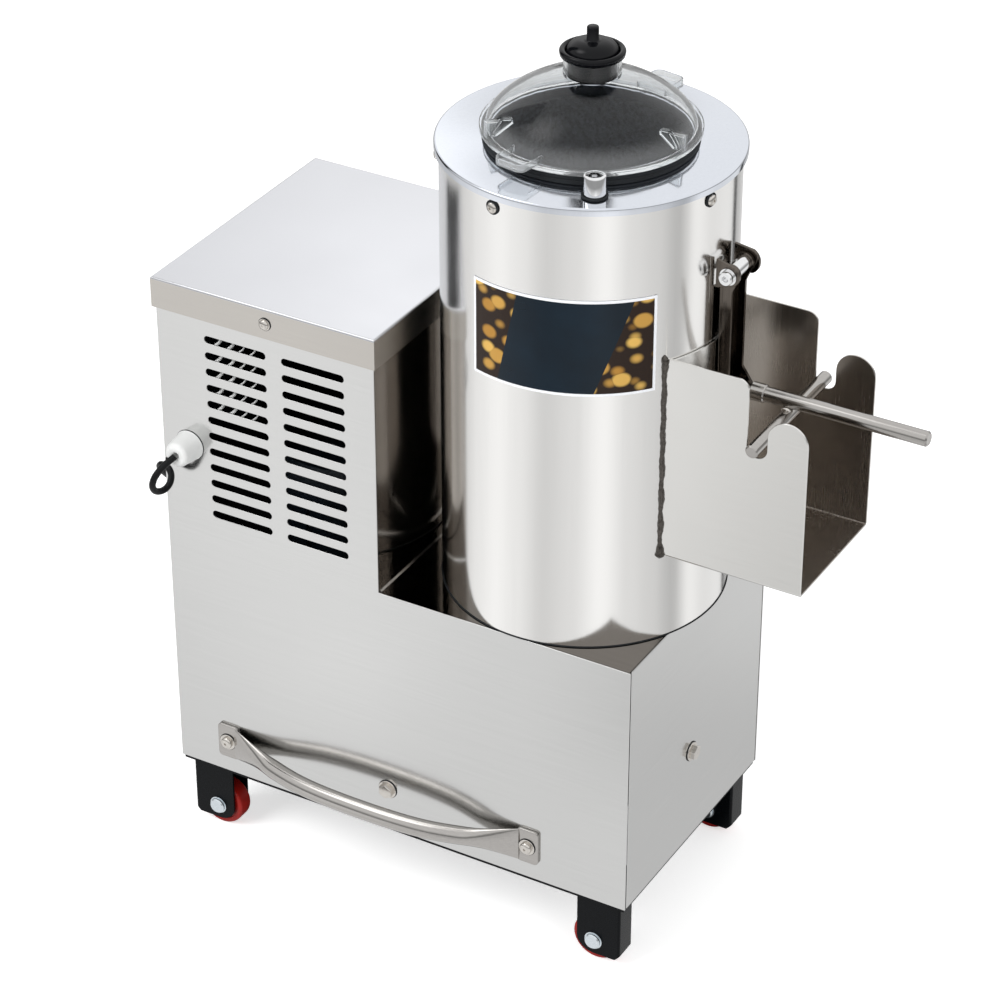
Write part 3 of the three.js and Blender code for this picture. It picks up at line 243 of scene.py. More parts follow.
chromeSteel = turnedSteel("chromePlatedSteel", "#F2F2F3", "#E4E5E6", 0.04, 0.10)
zincSteel = turnedSteel("zincPlatedSteel", "#E3EAEF", "#CCD5DB", 0.16, 0.28)
weldMetal = turnedSteel("burntWeldMetal", "#7A7570", "#221F1C", 0.18, 0.45)
boltSteel = turnedSteel("machinedSteel", "#E4E0DA", "#C2BDB7", 0.10, 0.20)


# Paint, moulded plastic and rubber: a coloured dielectric with a fine surface texture and
# patches of tone fourteen times as wide
def coatedSurface(name, dark, light, size, roughness, strength, gloss=0.5):
    material, shader = newMaterial(name, {
        "Metallic": 0.0, "IOR": 1.5, "Specular IOR Level": gloss})
    place = objectPlace(material)
    texture = noise(material, place, size, 4.0)
    setInputs(shader, {
        "Base Color": mixTone(material, noise(material, place, size * 14), dark, light),
        "Roughness": spread(material, texture, 0.3, 0.7, *roughness),
        "Normal": bump(material, texture, strength)})
    return material


# enamel sprayed on pressed steel: fine orange peel, half gloss
blackEnamel = coatedSurface("blackEnamel", "#040608", "#080B0F", 1.6, (0.24, 0.34), 0.06, 0.12)
motorEnamel = coatedSurface("greyBlueMachineEnamel", "#141B22", "#1D262F", 1.8, (0.35, 0.5), 0.25)
# injection-moulded gloss plastic of the plugs
blackMoulding = coatedSurface("blackGlossMoulding", "#050609", "#0B0C10", 1.2, (0.10, 0.18),
                              0.06, 0.2)
# soft PVC jacket of the lead
cordJacket = coatedSurface("blackPvcJacket", "#0A0A0B", "#121315", 0.9, (0.3, 0.42), 0.15, 0.2)
# moulded sponge-rubber seal
sealRubber = coatedSurface("blackSealRubber", "#1C1E20", "#2A2D30", 0.8, (0.55, 0.72), 0.35, 0.2)
# cast polyurethane tyre
redTyre = coatedSurface("redPolyurethane", "#8C0F0A", "#AC1C12", 1.4, (0.28, 0.42), 0.12, 0.3)
whiteNylon = coatedSurface("whiteMouldedNylon", "#DCDDDC", "#EDEEED", 1.0, (0.34, 0.46), 0.1)
castIron = coatedSurface("machinedCastIron", "#7E8082", "#949698", 1.1, (0.5, 0.7), 0.5)


# Silicon carbide grit in resin: dark grains about 2 mm across, each catching its own glint
def gritSurface(size=2.2):
    material, shader = newMaterial("siliconCarbideGrit", {"Metallic": 0.0})
    grains = addNode(material, "TexVoronoi", {
        "Vector": objectPlace(material), "Scale": 1000 / size}).outputs
    value = addNode(material, "SeparateColor", {"Color": grains["Color"]}).outputs
    setInputs(shader, {
        "Base Color": mixTone(material, value["Red"], "#4B4F55", "#656A71"),
        "Roughness": spread(material, value["Green"], 0.0, 1.0, 0.3, 0.85),
        "Normal": bump(material, grains["Distance"], 0.25, 0.0005)})
    return material


grit = gritSurface()


# Clear polycarbonate, injection-moulded: slight flow marks bend what is seen through it, and it
# is made a little white towards its rim, a painted sheen
def clearMoulding(sheenFrom=0.082, sheenTo=0.099, flowSize=30):
    material, shader = newMaterial("clearPolycarbonate", {
        "Metallic": 0.0, "IOR": 1.3, "Transmission Weight": 1.0,
        "Base Color": linear("#FAFCFD")})
    place = objectPlace(material)
    off = vectorMaths(material, "SUBTRACT", place, row(drumPoint))
    away = vectorMaths(material, "LENGTH", vectorMaths(material, "MULTIPLY", off, (1, 1, 0)))
    flow = noise(material, place, flowSize)
    setInputs(shader, {
        "Transmission Weight": spread(material, away, sheenFrom, sheenTo, 1.0, 0.84),
        "Roughness": spread(material, flow, 0.3, 0.7, 0.02, 0.05),
        "Normal": bump(material, flow, 0.08, 0.002)})
    return material


clearPlastic = clearMoulding()


# Printed vinyl sheet: dark blue field in a white border, with soft warm shapes at its ends.
# u runs round the drum and v up it, both in millimetres over the sheet. The ends lean to the
# right by so much for each millimetre they rise.
sheetPrint = Values(border=(2.4, 2.7), leftEdge=(27.6, 27.2), leftLean=-0.22,
                    rightEdge=(116.2, 116.6), rightLean=-0.39, roundsPitch=19,
                    roundsSoft=(0.38, 0.56))


def printedSheet(width, height, v=sheetPrint):
    material, shader = newMaterial("printedVinyl", {
        "Metallic": 0.0, "Roughness": 0.22, "Specular IOR Level": 0.25})
    place = addNode(material, "UVMap", uv_map="UVMap").outputs["UV"]
    axes = axesOf(material, place)

    def inwards(along, size):
        middle = maths(material, "SUBTRACT", along, size / 2)
        return maths(material, "SUBTRACT", size / 2, maths(material, "ABSOLUTE", middle))

    def end(lean, edge):
        return spread(material, maths(material, "MULTIPLY_ADD", axes["Y"], lean, axes["X"]), *edge)

    edge = maths(material, "MINIMUM", inwards(axes["X"], width), inwards(axes["Y"], height))
    cloud = addNode(material, "TexNoise", {"Vector": place, "Scale": 0.02, "Detail": 2.0})
    fieldTone = mixTone(material, cloud.outputs["Fac"], "#020E18", "#06202F")
    # the ends are filled with soft gold rounds on a dark brown
    stretch = addNode(material, "Mapping", {
        "Vector": place, "Rotation": (0, 0, 0.6), "Scale": (1.0, 1.25, 1.0)}).outputs["Vector"]
    rounds = addNode(material, "TexVoronoi", {
        "Vector": stretch, "Scale": 1 / v.roundsPitch, "Randomness": 0.7}).outputs
    own = addNode(material, "SeparateColor", {"Color": rounds["Color"]}).outputs["Red"]
    shade = spread(material, rounds["Distance"], *v.roundsSoft, soft=True)
    warmTone = mixTone(material, shade, mixTone(material, own, "#A9772B", "#E0B65E"), "#24150A")
    ends = maths(material, "MAXIMUM", end(v.leftLean, v.leftEdge), end(v.rightLean, v.rightEdge))
    field = mixTone(material, ends, fieldTone, warmTone)
    setInputs(shader, {"Base Color": mixTone(
        material, spread(material, edge, *v.border), "#F4F6FA", field)})
    return material


print("materials made")


# ---- mesh helpers ----
def newMesh(name, bm, material):
    mesh = bpy.data.meshes.new(name)
    bm.to_mesh(mesh)
    bm.free()
    mesh.materials.append(material)
    return mesh


def finishPiece(name, bm, material, stands=None, rides="machine_body", slot=None, sharp=35,
                bevel=0.0, sheet=0.0):
    bmesh.ops.remove_doubles(bm, verts=bm.verts, dist=0.01)
    bmesh.ops.recalc_face_normals(bm, faces=bm.faces)
    for face in bm.faces:
        face.smooth = True
    for edge in bm.edges:
        joined = len(edge.link_faces) == 2
        edge.smooth = joined and edge.calc_face_angle() < math.radians(sharp)
    bm.transform(toRow)
    piece = addObject(name, newMesh(name, bm, material))
    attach(piece, rides)
    if stands:
        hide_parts(stands)
    if sheet:
        wall = piece.modifiers.new("wall", "SOLIDIFY")
        wall.thickness = sheet / 1000
        wall.offset = -1
        wall.use_even_offset = True
    if bevel:
        edges = piece.modifiers.new("edges", "BEVEL")
        edges.width = bevel / 1000
        edges.segments = 2
        edges.limit_method = "ANGLE"
        edges.angle_limit = math.radians(35)
    if bevel or sheet:
        # flat faces shade flat beside their rounded edges
        shade = piece.modifiers.new("shade", "WEIGHTED_NORMAL")
        shade.keep_sharp = True
    return piece


def vertsOf(made):
    return [item for item in made["geom"] if isinstance(item, bmesh.types.BMVert)]


# spins a profile, a list of (radius, height) along the axis, round that axis
def addSpin(bm, profile, centre=(0, 0, 0), axis=(0, 0, 1), steps=96, closed=True,
            turn=2 * math.pi):
    centre, axis = Vector(centre), Vector(axis)
    toAxis = Vector((0, 0, 1)).rotation_difference(axis).to_matrix().to_4x4()
    place = Matrix.Translation(centre) @ toAxis
    verts = [bm.verts.new(place @ Vector((r, 0, h))) for r, h in profile]
    edges = [bm.edges.new(pair) for pair in zip(verts, verts[1:])]
    if closed:
        edges.append(bm.edges.new((verts[-1], verts[0])))
    full = abs(turn - 2 * math.pi) < 1e-6
    bmesh.ops.spin(bm, geom=verts + edges, cent=centre, axis=axis, angle=turn, steps=steps,
                   use_merge=full, use_duplicate=False)
    bmesh.ops.remove_doubles(bm, verts=bm.verts, dist=0.005)


# a band of the drum's round, from a start angle over a turn, both in radians
def addBand(bm, radius, low, high, start, turn, steps):
    addSpin(bm, [(radius, low), (radius, high)], drumPoint, steps=steps, closed=False, turn=turn)
    bmesh.ops.rotate(bm, verts=bm.verts, cent=drumPoint, matrix=Matrix.Rotation(start, 3, "Z"))


def addOutline(bm, points):
    verts = [bm.verts.new(point) for point in points]
    return [bm.edges.new((verts[i - 1], verts[i])) for i in range(len(verts))]


def thicken(bm, faces, along):
    made = bmesh.ops.extrude_face_region(bm, geom=faces, use_keep_orig=True)
    bmesh.ops.translate(bm, verts=vertsOf(made), vec=Vector(along))


def addSlab(bm, points, along):
    thicken(bm, [bm.faces.new([bm.verts.new(point) for point in points])], along)


def spinPiece(name, profile, material, stands=None, centre=(0, 0, 0), axis=(0, 0, 1), steps=40,
              closed=False, place=Matrix(), **finish):
    bm = bmesh.new()
    addSpin(bm, profile, centre, axis, steps, closed)
    bmesh.ops.transform(bm, matrix=place, verts=bm.verts)
    return finishPiece(name, bm, material, stands, **finish)


def slabPiece(name, points, along, material, stands=None, **finish):
    bm = bmesh.new()
    addSlab(bm, points, along)
    return finishPiece(name, bm, material, stands, **finish)


def roundEdges(bm, edges, width, segments=4):
    bmesh.ops.bevel(bm, geom=edges, offset=width, segments=segments, profile=0.5,
                    affect="EDGES", material=-1, offset_type="OFFSET")


# edges where a sheet is folded, so turned by more than this in radians
def foldsOf(bm, turned=0.7):
    return [e for e in bm.edges if len(e.link_faces) == 2 and e.calc_face_angle() > turned]


def arc(centre, radius, start, end, steps):
    cx, cy = centre
    turns = [math.radians(start + (end - start) * i / steps) for i in range(steps + 1)]
    return [(cx + radius * math.cos(turn), cy + radius * math.sin(turn)) for turn in turns]


def mirrored(half):
    return [(p, -q) for p, q in reversed(half)] + half[1:]


def roundedRect(x0, x1, z0, z1, radius, steps=6):
    corners = [(x1 - radius, z0 + radius, -90), (x1 - radius, z1 - radius, 0),
               (x0 + radius, z1 - radius, 90), (x0 + radius, z0 + radius, 180)]
    return [point for x, z, start in corners
            for point in arc((x, z), radius, start, start + 90, steps)]


# a round bar through the places, each of which may also stretch its ring
def addSweep(bm, places, sides, radius):
    first = bmesh.ops.create_circle(bm, cap_ends=False, radius=radius, segments=sides,
                                    matrix=places[0])["verts"]
    ring = list({edge for vert in first for edge in vert.link_edges})
    starts = ring
    back = places[0].inverted()
    for place in places[1:]:
        made = bmesh.ops.extrude_edge_only(bm, edges=ring)
        verts = vertsOf(made)
        ring = [item for item in made["geom"] if isinstance(item, bmesh.types.BMEdge)
                and all(vert in verts for vert in item.verts)]
        bmesh.ops.transform(bm, matrix=place @ back, verts=verts)
        back = place.inverted()
    bmesh.ops.edgeloop_fill(bm, edges=starts)
    bmesh.ops.edgeloop_fill(bm, edges=ring)


def alongPath(path, i):
    return (path[min(i + 1, len(path) - 1)] - path[max(i - 1, 0)]).normalized()


def smoothPath(points, steps):
    curve = []
    points = [Vector(point) for point in points]
    padded = [2 * points[0] - points[1], *points, 2 * points[-1] - points[-2]]
    for i in range(1, len(padded) - 2):
        a, b, c, d = padded[i - 1:i + 3]
        for j in range(steps):
            t = j / steps
            curve.append(0.5 * ((2 * b) + (c - a) * t + (2 * a - 5 * b + 4 * c - d) * t ** 2
                                + (3 * b - a - 3 * c + d) * t ** 3))
    return curve + [points[-1]]


# thin black ring under a head, a painted shadow, which shows as a dark line round it
def addShadeRing(name, place, radius):
    r = radius + 0.5
    spinPiece(f"{name}_gasket", [(0, -0.2), (r, -0.2), (r, 0.3), (0, 0.35)], sealRubber,
              place=place)


# ---- mains lead: the CAD's route with a tighter loop, from the gland round to the coil ----
lead = Values(radius=3.25, coilX=78, coilY=346, coilRadius=42, pitch=7.3, turnsPerLayer=1.75,
              stepsPerTurn=24, climb=12, tail=34,
              # the end comes down from the upper layer: share of the tail, share of the pitch
              tailHeights=((0.25, 1), (0.5, 0.88), (0.75, 0.55), (1, 0.2), (1.25, 0.03),
                           (1.5, 0), (1.8, 0)))
leadFloor = body.floor + lead.radius
leadRoute = [
    (29.5, -24.6, 369), (24, -31.2, 363.2), (19.6, -38.6, 356.4), (16.7, -42.8, 349.1),
    (14.8, -42.4, 340.3), (14.6, -34, 331.1), (16.4, -21.8, 329.8), (15.3, -13, 335.2),
    (10.3, -8.4, 340.6), (0.6, -5, 341), (-7.4, 0.6, 334.4), (-10.9, 10.5, 322.4),
    (-12.3, 24, 307.5), (-12.5, 38, 288), (-12.5, 58, 252), (-12.5, 76, 205),
    (-12.5, 92, 150), (-12.5, 104, 90), (-12.5, 112, 30), (-12.5, 119, -20),
    (-12.5, 128.5, -53), (-12.5, 141, -67.5), (-12.5, 156, -73.6)]
leadRoute += [(x, y, leadFloor) for x, y in (
    (-12.5, 176), (-13.5, 220), (-15, 260), (-13, 300), (-2, 338), (16, 368), (40, 385),
    (56, 388), (66, 388), (71.5, 388))]


def coilPoints(v):
    step = 2 * math.pi / v.stepsPerTurn
    perStep = v.pitch / v.stepsPerTurn
    turns = int(v.stepsPerTurn * v.turnsPerLayer)
    inner = v.coilRadius - v.pitch * v.turnsPerLayer

    def place(turn, radius, height):
        return Vector((v.coilX + radius * math.sin(turn), v.coilY + radius * math.cos(turn),
                       leadFloor + height))

    points = [place(i * step, v.coilRadius - perStep * i, 0) for i in range(turns + 1)]
    for i in range(1, v.climb + 1):
        share = (1 - math.cos(math.pi * i / v.climb)) / 2
        dip = v.pitch * math.sin(math.pi * i / v.climb) / 4
        points.append(place((turns + i) * step, inner - dip, v.pitch * share))
    points += [place((turns + v.climb + i) * step, inner + perStep * i, v.pitch)
               for i in range(1, turns + 1)]
    along = points[-1] - points[-2]
    along.z = 0
    along.normalize()
    last = points[-1].copy()
    for share, height in v.tailHeights:
        point = last + along * share * v.tail
        point.z = leadFloor + v.pitch * height
        points.append(point)
    return points, along


def addLead(v, material):
    coil, along = coilPoints(v)
    points = [Vector(point) for point in leadRoute] + coil
    data = bpy.data.curves.new("mains_cord", "CURVE")
    data.dimensions = "3D"
    data.bevel_depth = v.radius / 1000
    data.bevel_resolution = 4
    data.resolution_u = 6
    data.use_fill_caps = True
    spline = data.splines.new("BEZIER")
    spline.bezier_points.add(len(points) - 1)
    for knot, point in zip(spline.bezier_points, points):
        knot.co = toRow @ point
        knot.handle_left_type = knot.handle_right_type = "AUTO"
    bpy.context.view_layer.update()
    # no handle dips the lead below the floor it lies on
    floorHeight = row((0, 0, leadFloor)).z
    for knot in spline.bezier_points:
        knot.handle_left_type = knot.handle_right_type = "FREE"
        knot.handle_left.z = max(knot.handle_left.z, min(knot.co.z, floorHeight))
        knot.handle_right.z = max(knot.handle_right.z, min(knot.co.z, floorHeight))
    data.materials.append(material)
    cord = addObject("mains_cord", data)
    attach(cord, "machine_body")
    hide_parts("mains_lead", "lead_coil")
    length = sum((b - a).length for a, b in zip(points, points[1:])) / 1000
    return cord, points, along, length


cord, leadPoints, leadAlong, leadLength = addLead(lead, cordJacket)
print("lead laid,", round(leadLength, 3), "m")

# ---- the plug on the lead's end ----
plug = Values(length=38, width=26, thickness=24, corner=6.5, sleeve=16, pinRadius=2.4,
              pinLength=19, pinShift=9.5, lift=0.3,
              ribs=((0, 0), (3.4, 0), (4.2, 2), (4.4, 5), (3.8, 6), (4.5, 7), (4.7, 10), (4, 11),
                    (4.8, 12), (5.6, 18)))


def addPlug(v, end, along):
    up = Vector((0, 0, 1))
    start = (Matrix.Translation(end)
             @ Matrix((along, up.cross(along), up)).transposed().to_4x4())
    lift = v.lift + v.thickness / 2 - lead.radius
    bm = bmesh.new()
    addSpin(bm, v.ribs, axis=(1, 0, 0), steps=24, closed=False)
    # the ribbed sleeve widens upward, so that it rests on the floor like the lead
    for vert in bm.verts:
        vert.co.z += max(0, math.hypot(vert.co.y, vert.co.z) - lead.radius)
    made = bmesh.ops.create_cube(bm, size=1)["verts"]
    bmesh.ops.scale(bm, verts=made, vec=(v.length, v.width, v.thickness))
    bmesh.ops.translate(bm, verts=made, vec=(v.sleeve + v.length / 2, 0, lift))
    roundEdges(bm, list({edge for vert in made for edge in vert.link_edges}), v.corner, 6)
    bmesh.ops.transform(bm, matrix=start, verts=bm.verts)
    case = finishPiece("mains_plug_body", bm, blackMoulding, "lead_plug", sharp=40)
    bm = bmesh.new()
    r, reach = v.pinRadius, v.sleeve + v.length
    tip = reach + v.pinLength
    for side in (-1, 1):
        addSpin(bm, [(0, reach - 1), (r, reach - 1), (r, tip - r), (r * 0.8, tip - r * 0.4),
                     (0, tip)], (0, side * v.pinShift, lift), (1, 0, 0), 20, False)
    bmesh.ops.transform(bm, matrix=start, verts=bm.verts)
    return case, finishPiece("mains_plug_pins", bm, chromeSteel, "lead_plug")


plugBody, plugPins = addPlug(plug, leadPoints[-1], leadAlong)
print("plug made")

# ---- cable gland on the cabinet's front ----
gland = Values(at=(29.5, -0.3, 369), flange=15, radius=12.6, reach=24, bore=3.4, nose=5)


def addGland(v):
    r, f, h, n = v.radius, v.flange, v.reach, v.nose
    # a tapered cap, rounded at its nose, on a thin dark ring that is a painted shadow
    profile = [(v.bore, 0), (f + 0.3, 0), (f + 0.3, 1), (f, 1.3)] \
        + arc((r - n, h - n), n, 10, 80, 5) + [(v.bore + 1.2, h - 0.3), (v.bore, h - 1)]
    addShadeRing("gland", facing(Vector(v.at) + Vector((0, 0.05, 0)), (0, -1, 0)), f + 0.2)
    return spinPiece("gland_nut", profile, whiteNylon, "cable_gland", v.at, (0, -1, 0), 48, True,
                     sharp=30)


glandNut = addGland(gland)
print("gland made")

# ---- body panels ----
panels = Values(sheet=1.5, seam=2.5, slotLength=67, slotWidth=7.6, slotPitch=17.2, slotRows=12,
                slotTop=493, slotLefts=(52, 136), panelTop=539.2, lidSkirt=31, lidOverhang=3,
                fold=2.2)


def addFrontPanel(v):
    bm = bmesh.new()
    b, half = body, v.slotWidth / 2
    loops = [[(0, 0), (b.length, 0), (b.length, b.low), (b.cabinet, b.low),
              (b.cabinet, v.panelTop), (0, v.panelTop)]]
    for left in v.slotLefts:
        for i in range(v.slotRows):
            z, right = v.slotTop - half - i * v.slotPitch, left + v.slotLength
            loops.append(arc((right - half, z), half, -90, 90, 10)
                         + arc((left + half, z), half, 90, 270, 10))
    edges = [edge for loop in loops for edge in addOutline(bm, [(x, 0, z) for x, z in loop])]
    bmesh.ops.triangle_fill(bm, use_beauty=True, use_dissolve=False, edges=edges)
    thicken(bm, bm.faces[:], (0, v.sheet, 0))
    finishPiece("front_sheet", bm, frontSteel, "front_panel", bevel=0.35)


def addRightPanel(v):
    x, y0, y1 = body.length, v.seam + v.sheet, body.depth - v.sheet - 0.3
    slabPiece("right_sheet", [(x, y0, 0), (x, y1, 0), (x, y1, body.low), (x, y0, body.low)],
              (-v.sheet, 0, 0), shadedSideSteel, "right_panel", bevel=0.7)


def addCabinetLid(v):
    bm = bmesh.new()
    out, top, b = v.lidOverhang, body.height, body
    cube = bmesh.ops.create_cube(bm, size=1)["verts"]
    bmesh.ops.scale(bm, verts=cube, vec=(b.cabinet + 2 * out, b.depth + 2 * out, v.lidSkirt))
    bmesh.ops.translate(bm, verts=cube, vec=(b.cabinet / 2, b.depth / 2, top - v.lidSkirt / 2))
    bmesh.ops.delete(bm, geom=[f for f in bm.faces if f.normal.z < -0.5], context="FACES")
    rim = [e for e in bm.edges if len(e.link_faces) == 2
           and all(vert.co.z > top - 1 for vert in e.verts)]
    roundEdges(bm, rim, v.fold)
    bm.faces.ensure_lookup_table()
    # the top takes the lid's steel and the skirt its darker copy: painted shade on the sides
    for face in bm.faces:
        face.material_index = 0 if face.calc_center_median().z > top - v.fold else 1
    piece = finishPiece("cabinet_cover", bm, lidSteel, "cabinet_lid", sharp=30, sheet=v.sheet)
    piece.data.materials.append(shadedSkirtSteel)


# white wires that twist up inside the cabinet: their near strands glint in the upper slots
wires = Values(at=((60.5, 1.5), (74.5, 1.5), (86.5, 0.9), (98.5, 0.9)), depth=10, twist=3.2,
               low=407, high=499, steps=120, drop=7.2)


def addWires(v):
    bm = bmesh.new()
    middle = panels.slotTop - panels.slotWidth / 2 - v.drop
    for x, radius in v.at:
        path = []
        for i in range(v.steps + 1):
            z = v.low + (v.high - v.low) * i / v.steps
            turn = 2 * math.pi * (z - middle) / panels.slotPitch - math.pi / 2
            path.append(Vector((x + v.twist * math.cos(turn),
                                v.depth + v.twist * math.sin(turn), z)))
        places = [facing(point, alongPath(path, i)) for i, point in enumerate(path)]
        addSweep(bm, places, 10, radius)
    finishPiece("inner_wires", bm, whiteNylon)


addFrontPanel(panels)
addRightPanel(panels)
addCabinetLid(panels)
addWires(wires)
print("panels made")

# ---- castors ----
castor = Values(sideInset=36, endInset=20, axle=-54, top=-4.3, web=27.5, open=18.3, toe=16,
                half=13, chamfer=5, fold=2.6, sheet=2.3, wheelRadius=24.5, wheelHalf=9, hub=4.4,
                tread=3, band=5.5, boss=9.4, dish=1.2, axleRadius=4, headWidth=9.2, headHeight=4.4)


def addFork(v, name, x, y, side):
    bottom = v.axle - v.toe
    quarter = [math.radians(t) for t in range(0, 91, 10)]
    points = [(v.web, v.top), (v.web, bottom + v.chamfer), (v.web - v.chamfer, bottom)]
    points += [(-v.open * math.sin(t), v.axle - v.toe * math.cos(t)) for t in quarter]
    points.append((-v.open, v.top))
    bm = bmesh.new()
    addSlab(bm, [(x + side * r, y - v.half, z) for r, z in points], (0, 2 * v.half, 0))
    extra = []
    for face in bm.faces:
        middle = face.calc_center_median()
        cheek = abs(face.normal.y) > 0.5
        web = abs(middle.x - (x + side * v.web)) < 0.1
        plate = abs(middle.z - v.top) < 0.1
        if not (cheek or web or plate):
            extra.append(face)
    bmesh.ops.delete(bm, geom=extra, context="FACES")
    roundEdges(bm, foldsOf(bm), v.fold)
    finishPiece(f"{name}_bracket", bm, blackEnamel, f"{name}_fork", sheet=v.sheet, bevel=0.3)


def addWheel(v, name, x, y):
    r, h, t = v.wheelRadius, v.wheelHalf, v.tread
    half = arc((r - t, h - t), t, 0, 90, 5) \
        + [(r - v.band, h), (r - v.band - 0.7, h - v.dish), (v.boss + 0.6, h - v.dish),
           (v.boss, h), (v.hub, h)]
    spinPiece(f"{name}_tyre", half + [(p, -q) for p, q in reversed(half)], redTyre,
              f"{name}_wheel", (x, y, v.axle), (0, 1, 0), 64, True, rides=f"{name}_roller",
              sharp=40)


def addAxle(v, name, x, y):
    face, high, r = v.half + 0.3, v.headHeight, v.headWidth
    half = [(v.axleRadius, 0), (v.axleRadius, face), (r, face), (r, face + 1),
            (r - 1, face + 1.2), (r - 1, face + high - 1.2), (r - 2.2, face + high),
            (0, face + high)]
    spinPiece(f"{name}_pin", mirrored(half), zincSteel, f"{name}_axle", (x, y, v.axle),
              (0, 1, 0), sharp=30)


for castorEnd, castorY in (("front", castor.endInset), ("rear", body.depth - castor.endInset)):
    for castorSide, castorX, castorTurn in (("left", castor.sideInset, -1),
                                            ("right", body.length - castor.sideInset, 1)):
        castorName = f"{castorEnd}_{castorSide}"
        addFork(castor, castorName, castorX, castorY, castorTurn)
        addWheel(castor, castorName, castorX, castorY)
        addAxle(castor, castorName, castorX, castorY)
print("castors made")

# ---- drum shell and ring ----
drum = Values(bottom=270.3, top=715.2, sheet=2, steps=144, windowLow=376, windowHigh=545,
              windowHalf=54, ringRadius=137.8, ringSheet=2.5, lip=711, mouth=88, mouthSheet=2,
              mouthTop=726, beadRadius=0.5, seam=1.8)


def addDrum(v):
    bm = bmesh.new()
    r = body.drumRadius
    addSpin(bm, [(r, v.bottom), (r, v.windowLow), (r, v.windowHigh), (r, v.top)], drumPoint,
            steps=v.steps, closed=False)
    bmesh.ops.rotate(bm, verts=bm.verts, cent=drumPoint,
                     matrix=Matrix.Rotation(math.pi / v.steps, 3, "Z"))
    window = []
    for face in bm.faces:
        middle = face.calc_center_median()
        if (middle.x > body.drumX and abs(middle.y - body.drumY) < v.windowHalf
                and v.windowLow < middle.z < v.windowHigh):
            window.append(face)
    bmesh.ops.delete(bm, geom=window, context="FACES")
    finishPiece("drum_wrap", bm, drumSteel, "drum_shell", sheet=v.sheet)


def addRing(v):
    r, top, m, high = v.ringRadius, body.ringTop, v.mouth, v.mouthTop
    under, wide, inner = top - v.ringSheet, m + v.mouthSheet, r - v.ringSheet
    profile = [(r, v.lip)] + arc((r - 2, top - 2), 2, 0, 90, 5) \
        + [(m + 4, top), (m + 2.6, top + 0.5), (wide, top + 2), (wide, high - 0.6),
           (m + 1, high), (m, high - 0.6), (m, under), (inner, under), (inner, v.lip)]
    spinPiece("drum_cover_ring", profile, ringSteel, "top_ring", drumPoint, steps=v.steps,
              closed=True, sharp=30)


# a thin dark ring round the drum's foot, a painted shadow line, and the bright welded line where
# the cabinet's side stands on the deck
def addSeams(v):
    centre = (body.drumRadius + 0.4, body.low + 0.6)
    spinPiece("drum_foot_shade_line", arc(centre, v.beadRadius, 0, 315, 7), sealRubber,
              centre=drumPoint, steps=v.steps, closed=True)
    x, z, wide = body.cabinet + 0.2, body.low + 0.2, v.seam
    slabPiece("step_seam", [(x, 3, z), (x + wide, 3, z), (x + wide, 3, z + 0.3),
                            (x + 0.3, 3, z + wide), (x, 3, z + wide)], (0, body.depth - 6, 0),
              frontSteel)


addDrum(drum)
addRing(drum)
addSeams(drum)

screws = Values(angles=(-150, -100, -11.7), z=702, radius=5.2, height=3, washer=6.8,
                washerHeight=0.9, recess=1.1)


# a place on the drum's side whose z points outward
def drumFacing(angle, radius, z):
    turn = math.radians(angle)
    out, up = Vector((math.cos(turn), math.sin(turn), 0)), Vector((0, 0, 1))
    spot = drumPoint + Vector((radius * math.cos(turn), radius * math.sin(turn), z))
    return Matrix.Translation(spot) @ Matrix((up.cross(out), up, out)).transposed().to_4x4()


def addDrumScrews(v):
    r, h, low, w = v.radius, v.height, v.washerHeight, v.washer
    heads = sorted(n for n in nodes if n.startswith("drum_screw"))
    for i, angle in enumerate(v.angles):
        place = drumFacing(angle, body.drumRadius + 0.3, v.z)
        spinPiece(f"drum_screw_washer_{i}",
                  [(0, 0), (w, 0), (w, low * 0.7), (w - 0.3, low), (0, low)], sealRubber,
                  heads[i], steps=32, place=place)
        spinPiece(f"drum_rim_screw_{i}",
                  [(0, low), (r, low), (r, low + 0.8), (r * 0.9, low + h * 0.6),
                   (r * 0.65, low + h * 0.9), (v.recess + 0.2, low + h),
                   (v.recess, low + h - 1), (0, low + h - 1)], boltSteel, heads[i], steps=32,
                  place=place, sharp=40)


addDrumScrews(screws)
print("drum made")

# ---- lid: seal, clear dome, plug and clamp post ----
seal = Values(inner=90.3, outer=95.8, low=718.3, high=727.5)
lid = Values(rimLevel=727.8, rim=98, rimHeight=4.5, inner=89.5, wall=3, arch=25, slope=21.5,
             neck=25.5, neckTop=795.3, reach=67, steps=20, tabLength=17, tabWidth=32, tabWall=1.6,
             tabHeight=7, tabHorn=11, tabAngle=-100, tabCorner=7, gussetAngles=(-133, -6),
             gussetLength=26, gussetHeight=13, gussetWidth=6, gussetWall=1.4)


def addSeal(v):
    inner, outer, z0, z1 = v.inner, v.outer, v.low, v.high
    spinPiece("lid_seal", [(inner, z0), (outer - 1, z0), (outer, z0 + 1), (outer, z0 + 3.6),
                           (outer - 0.8, z0 + 4.6), (outer, z0 + 5.6), (outer, z1 - 1),
                           (outer - 1, z1), (inner, z1)], sealRubber, "lid_gasket", drumPoint,
              steps=128, closed=True)


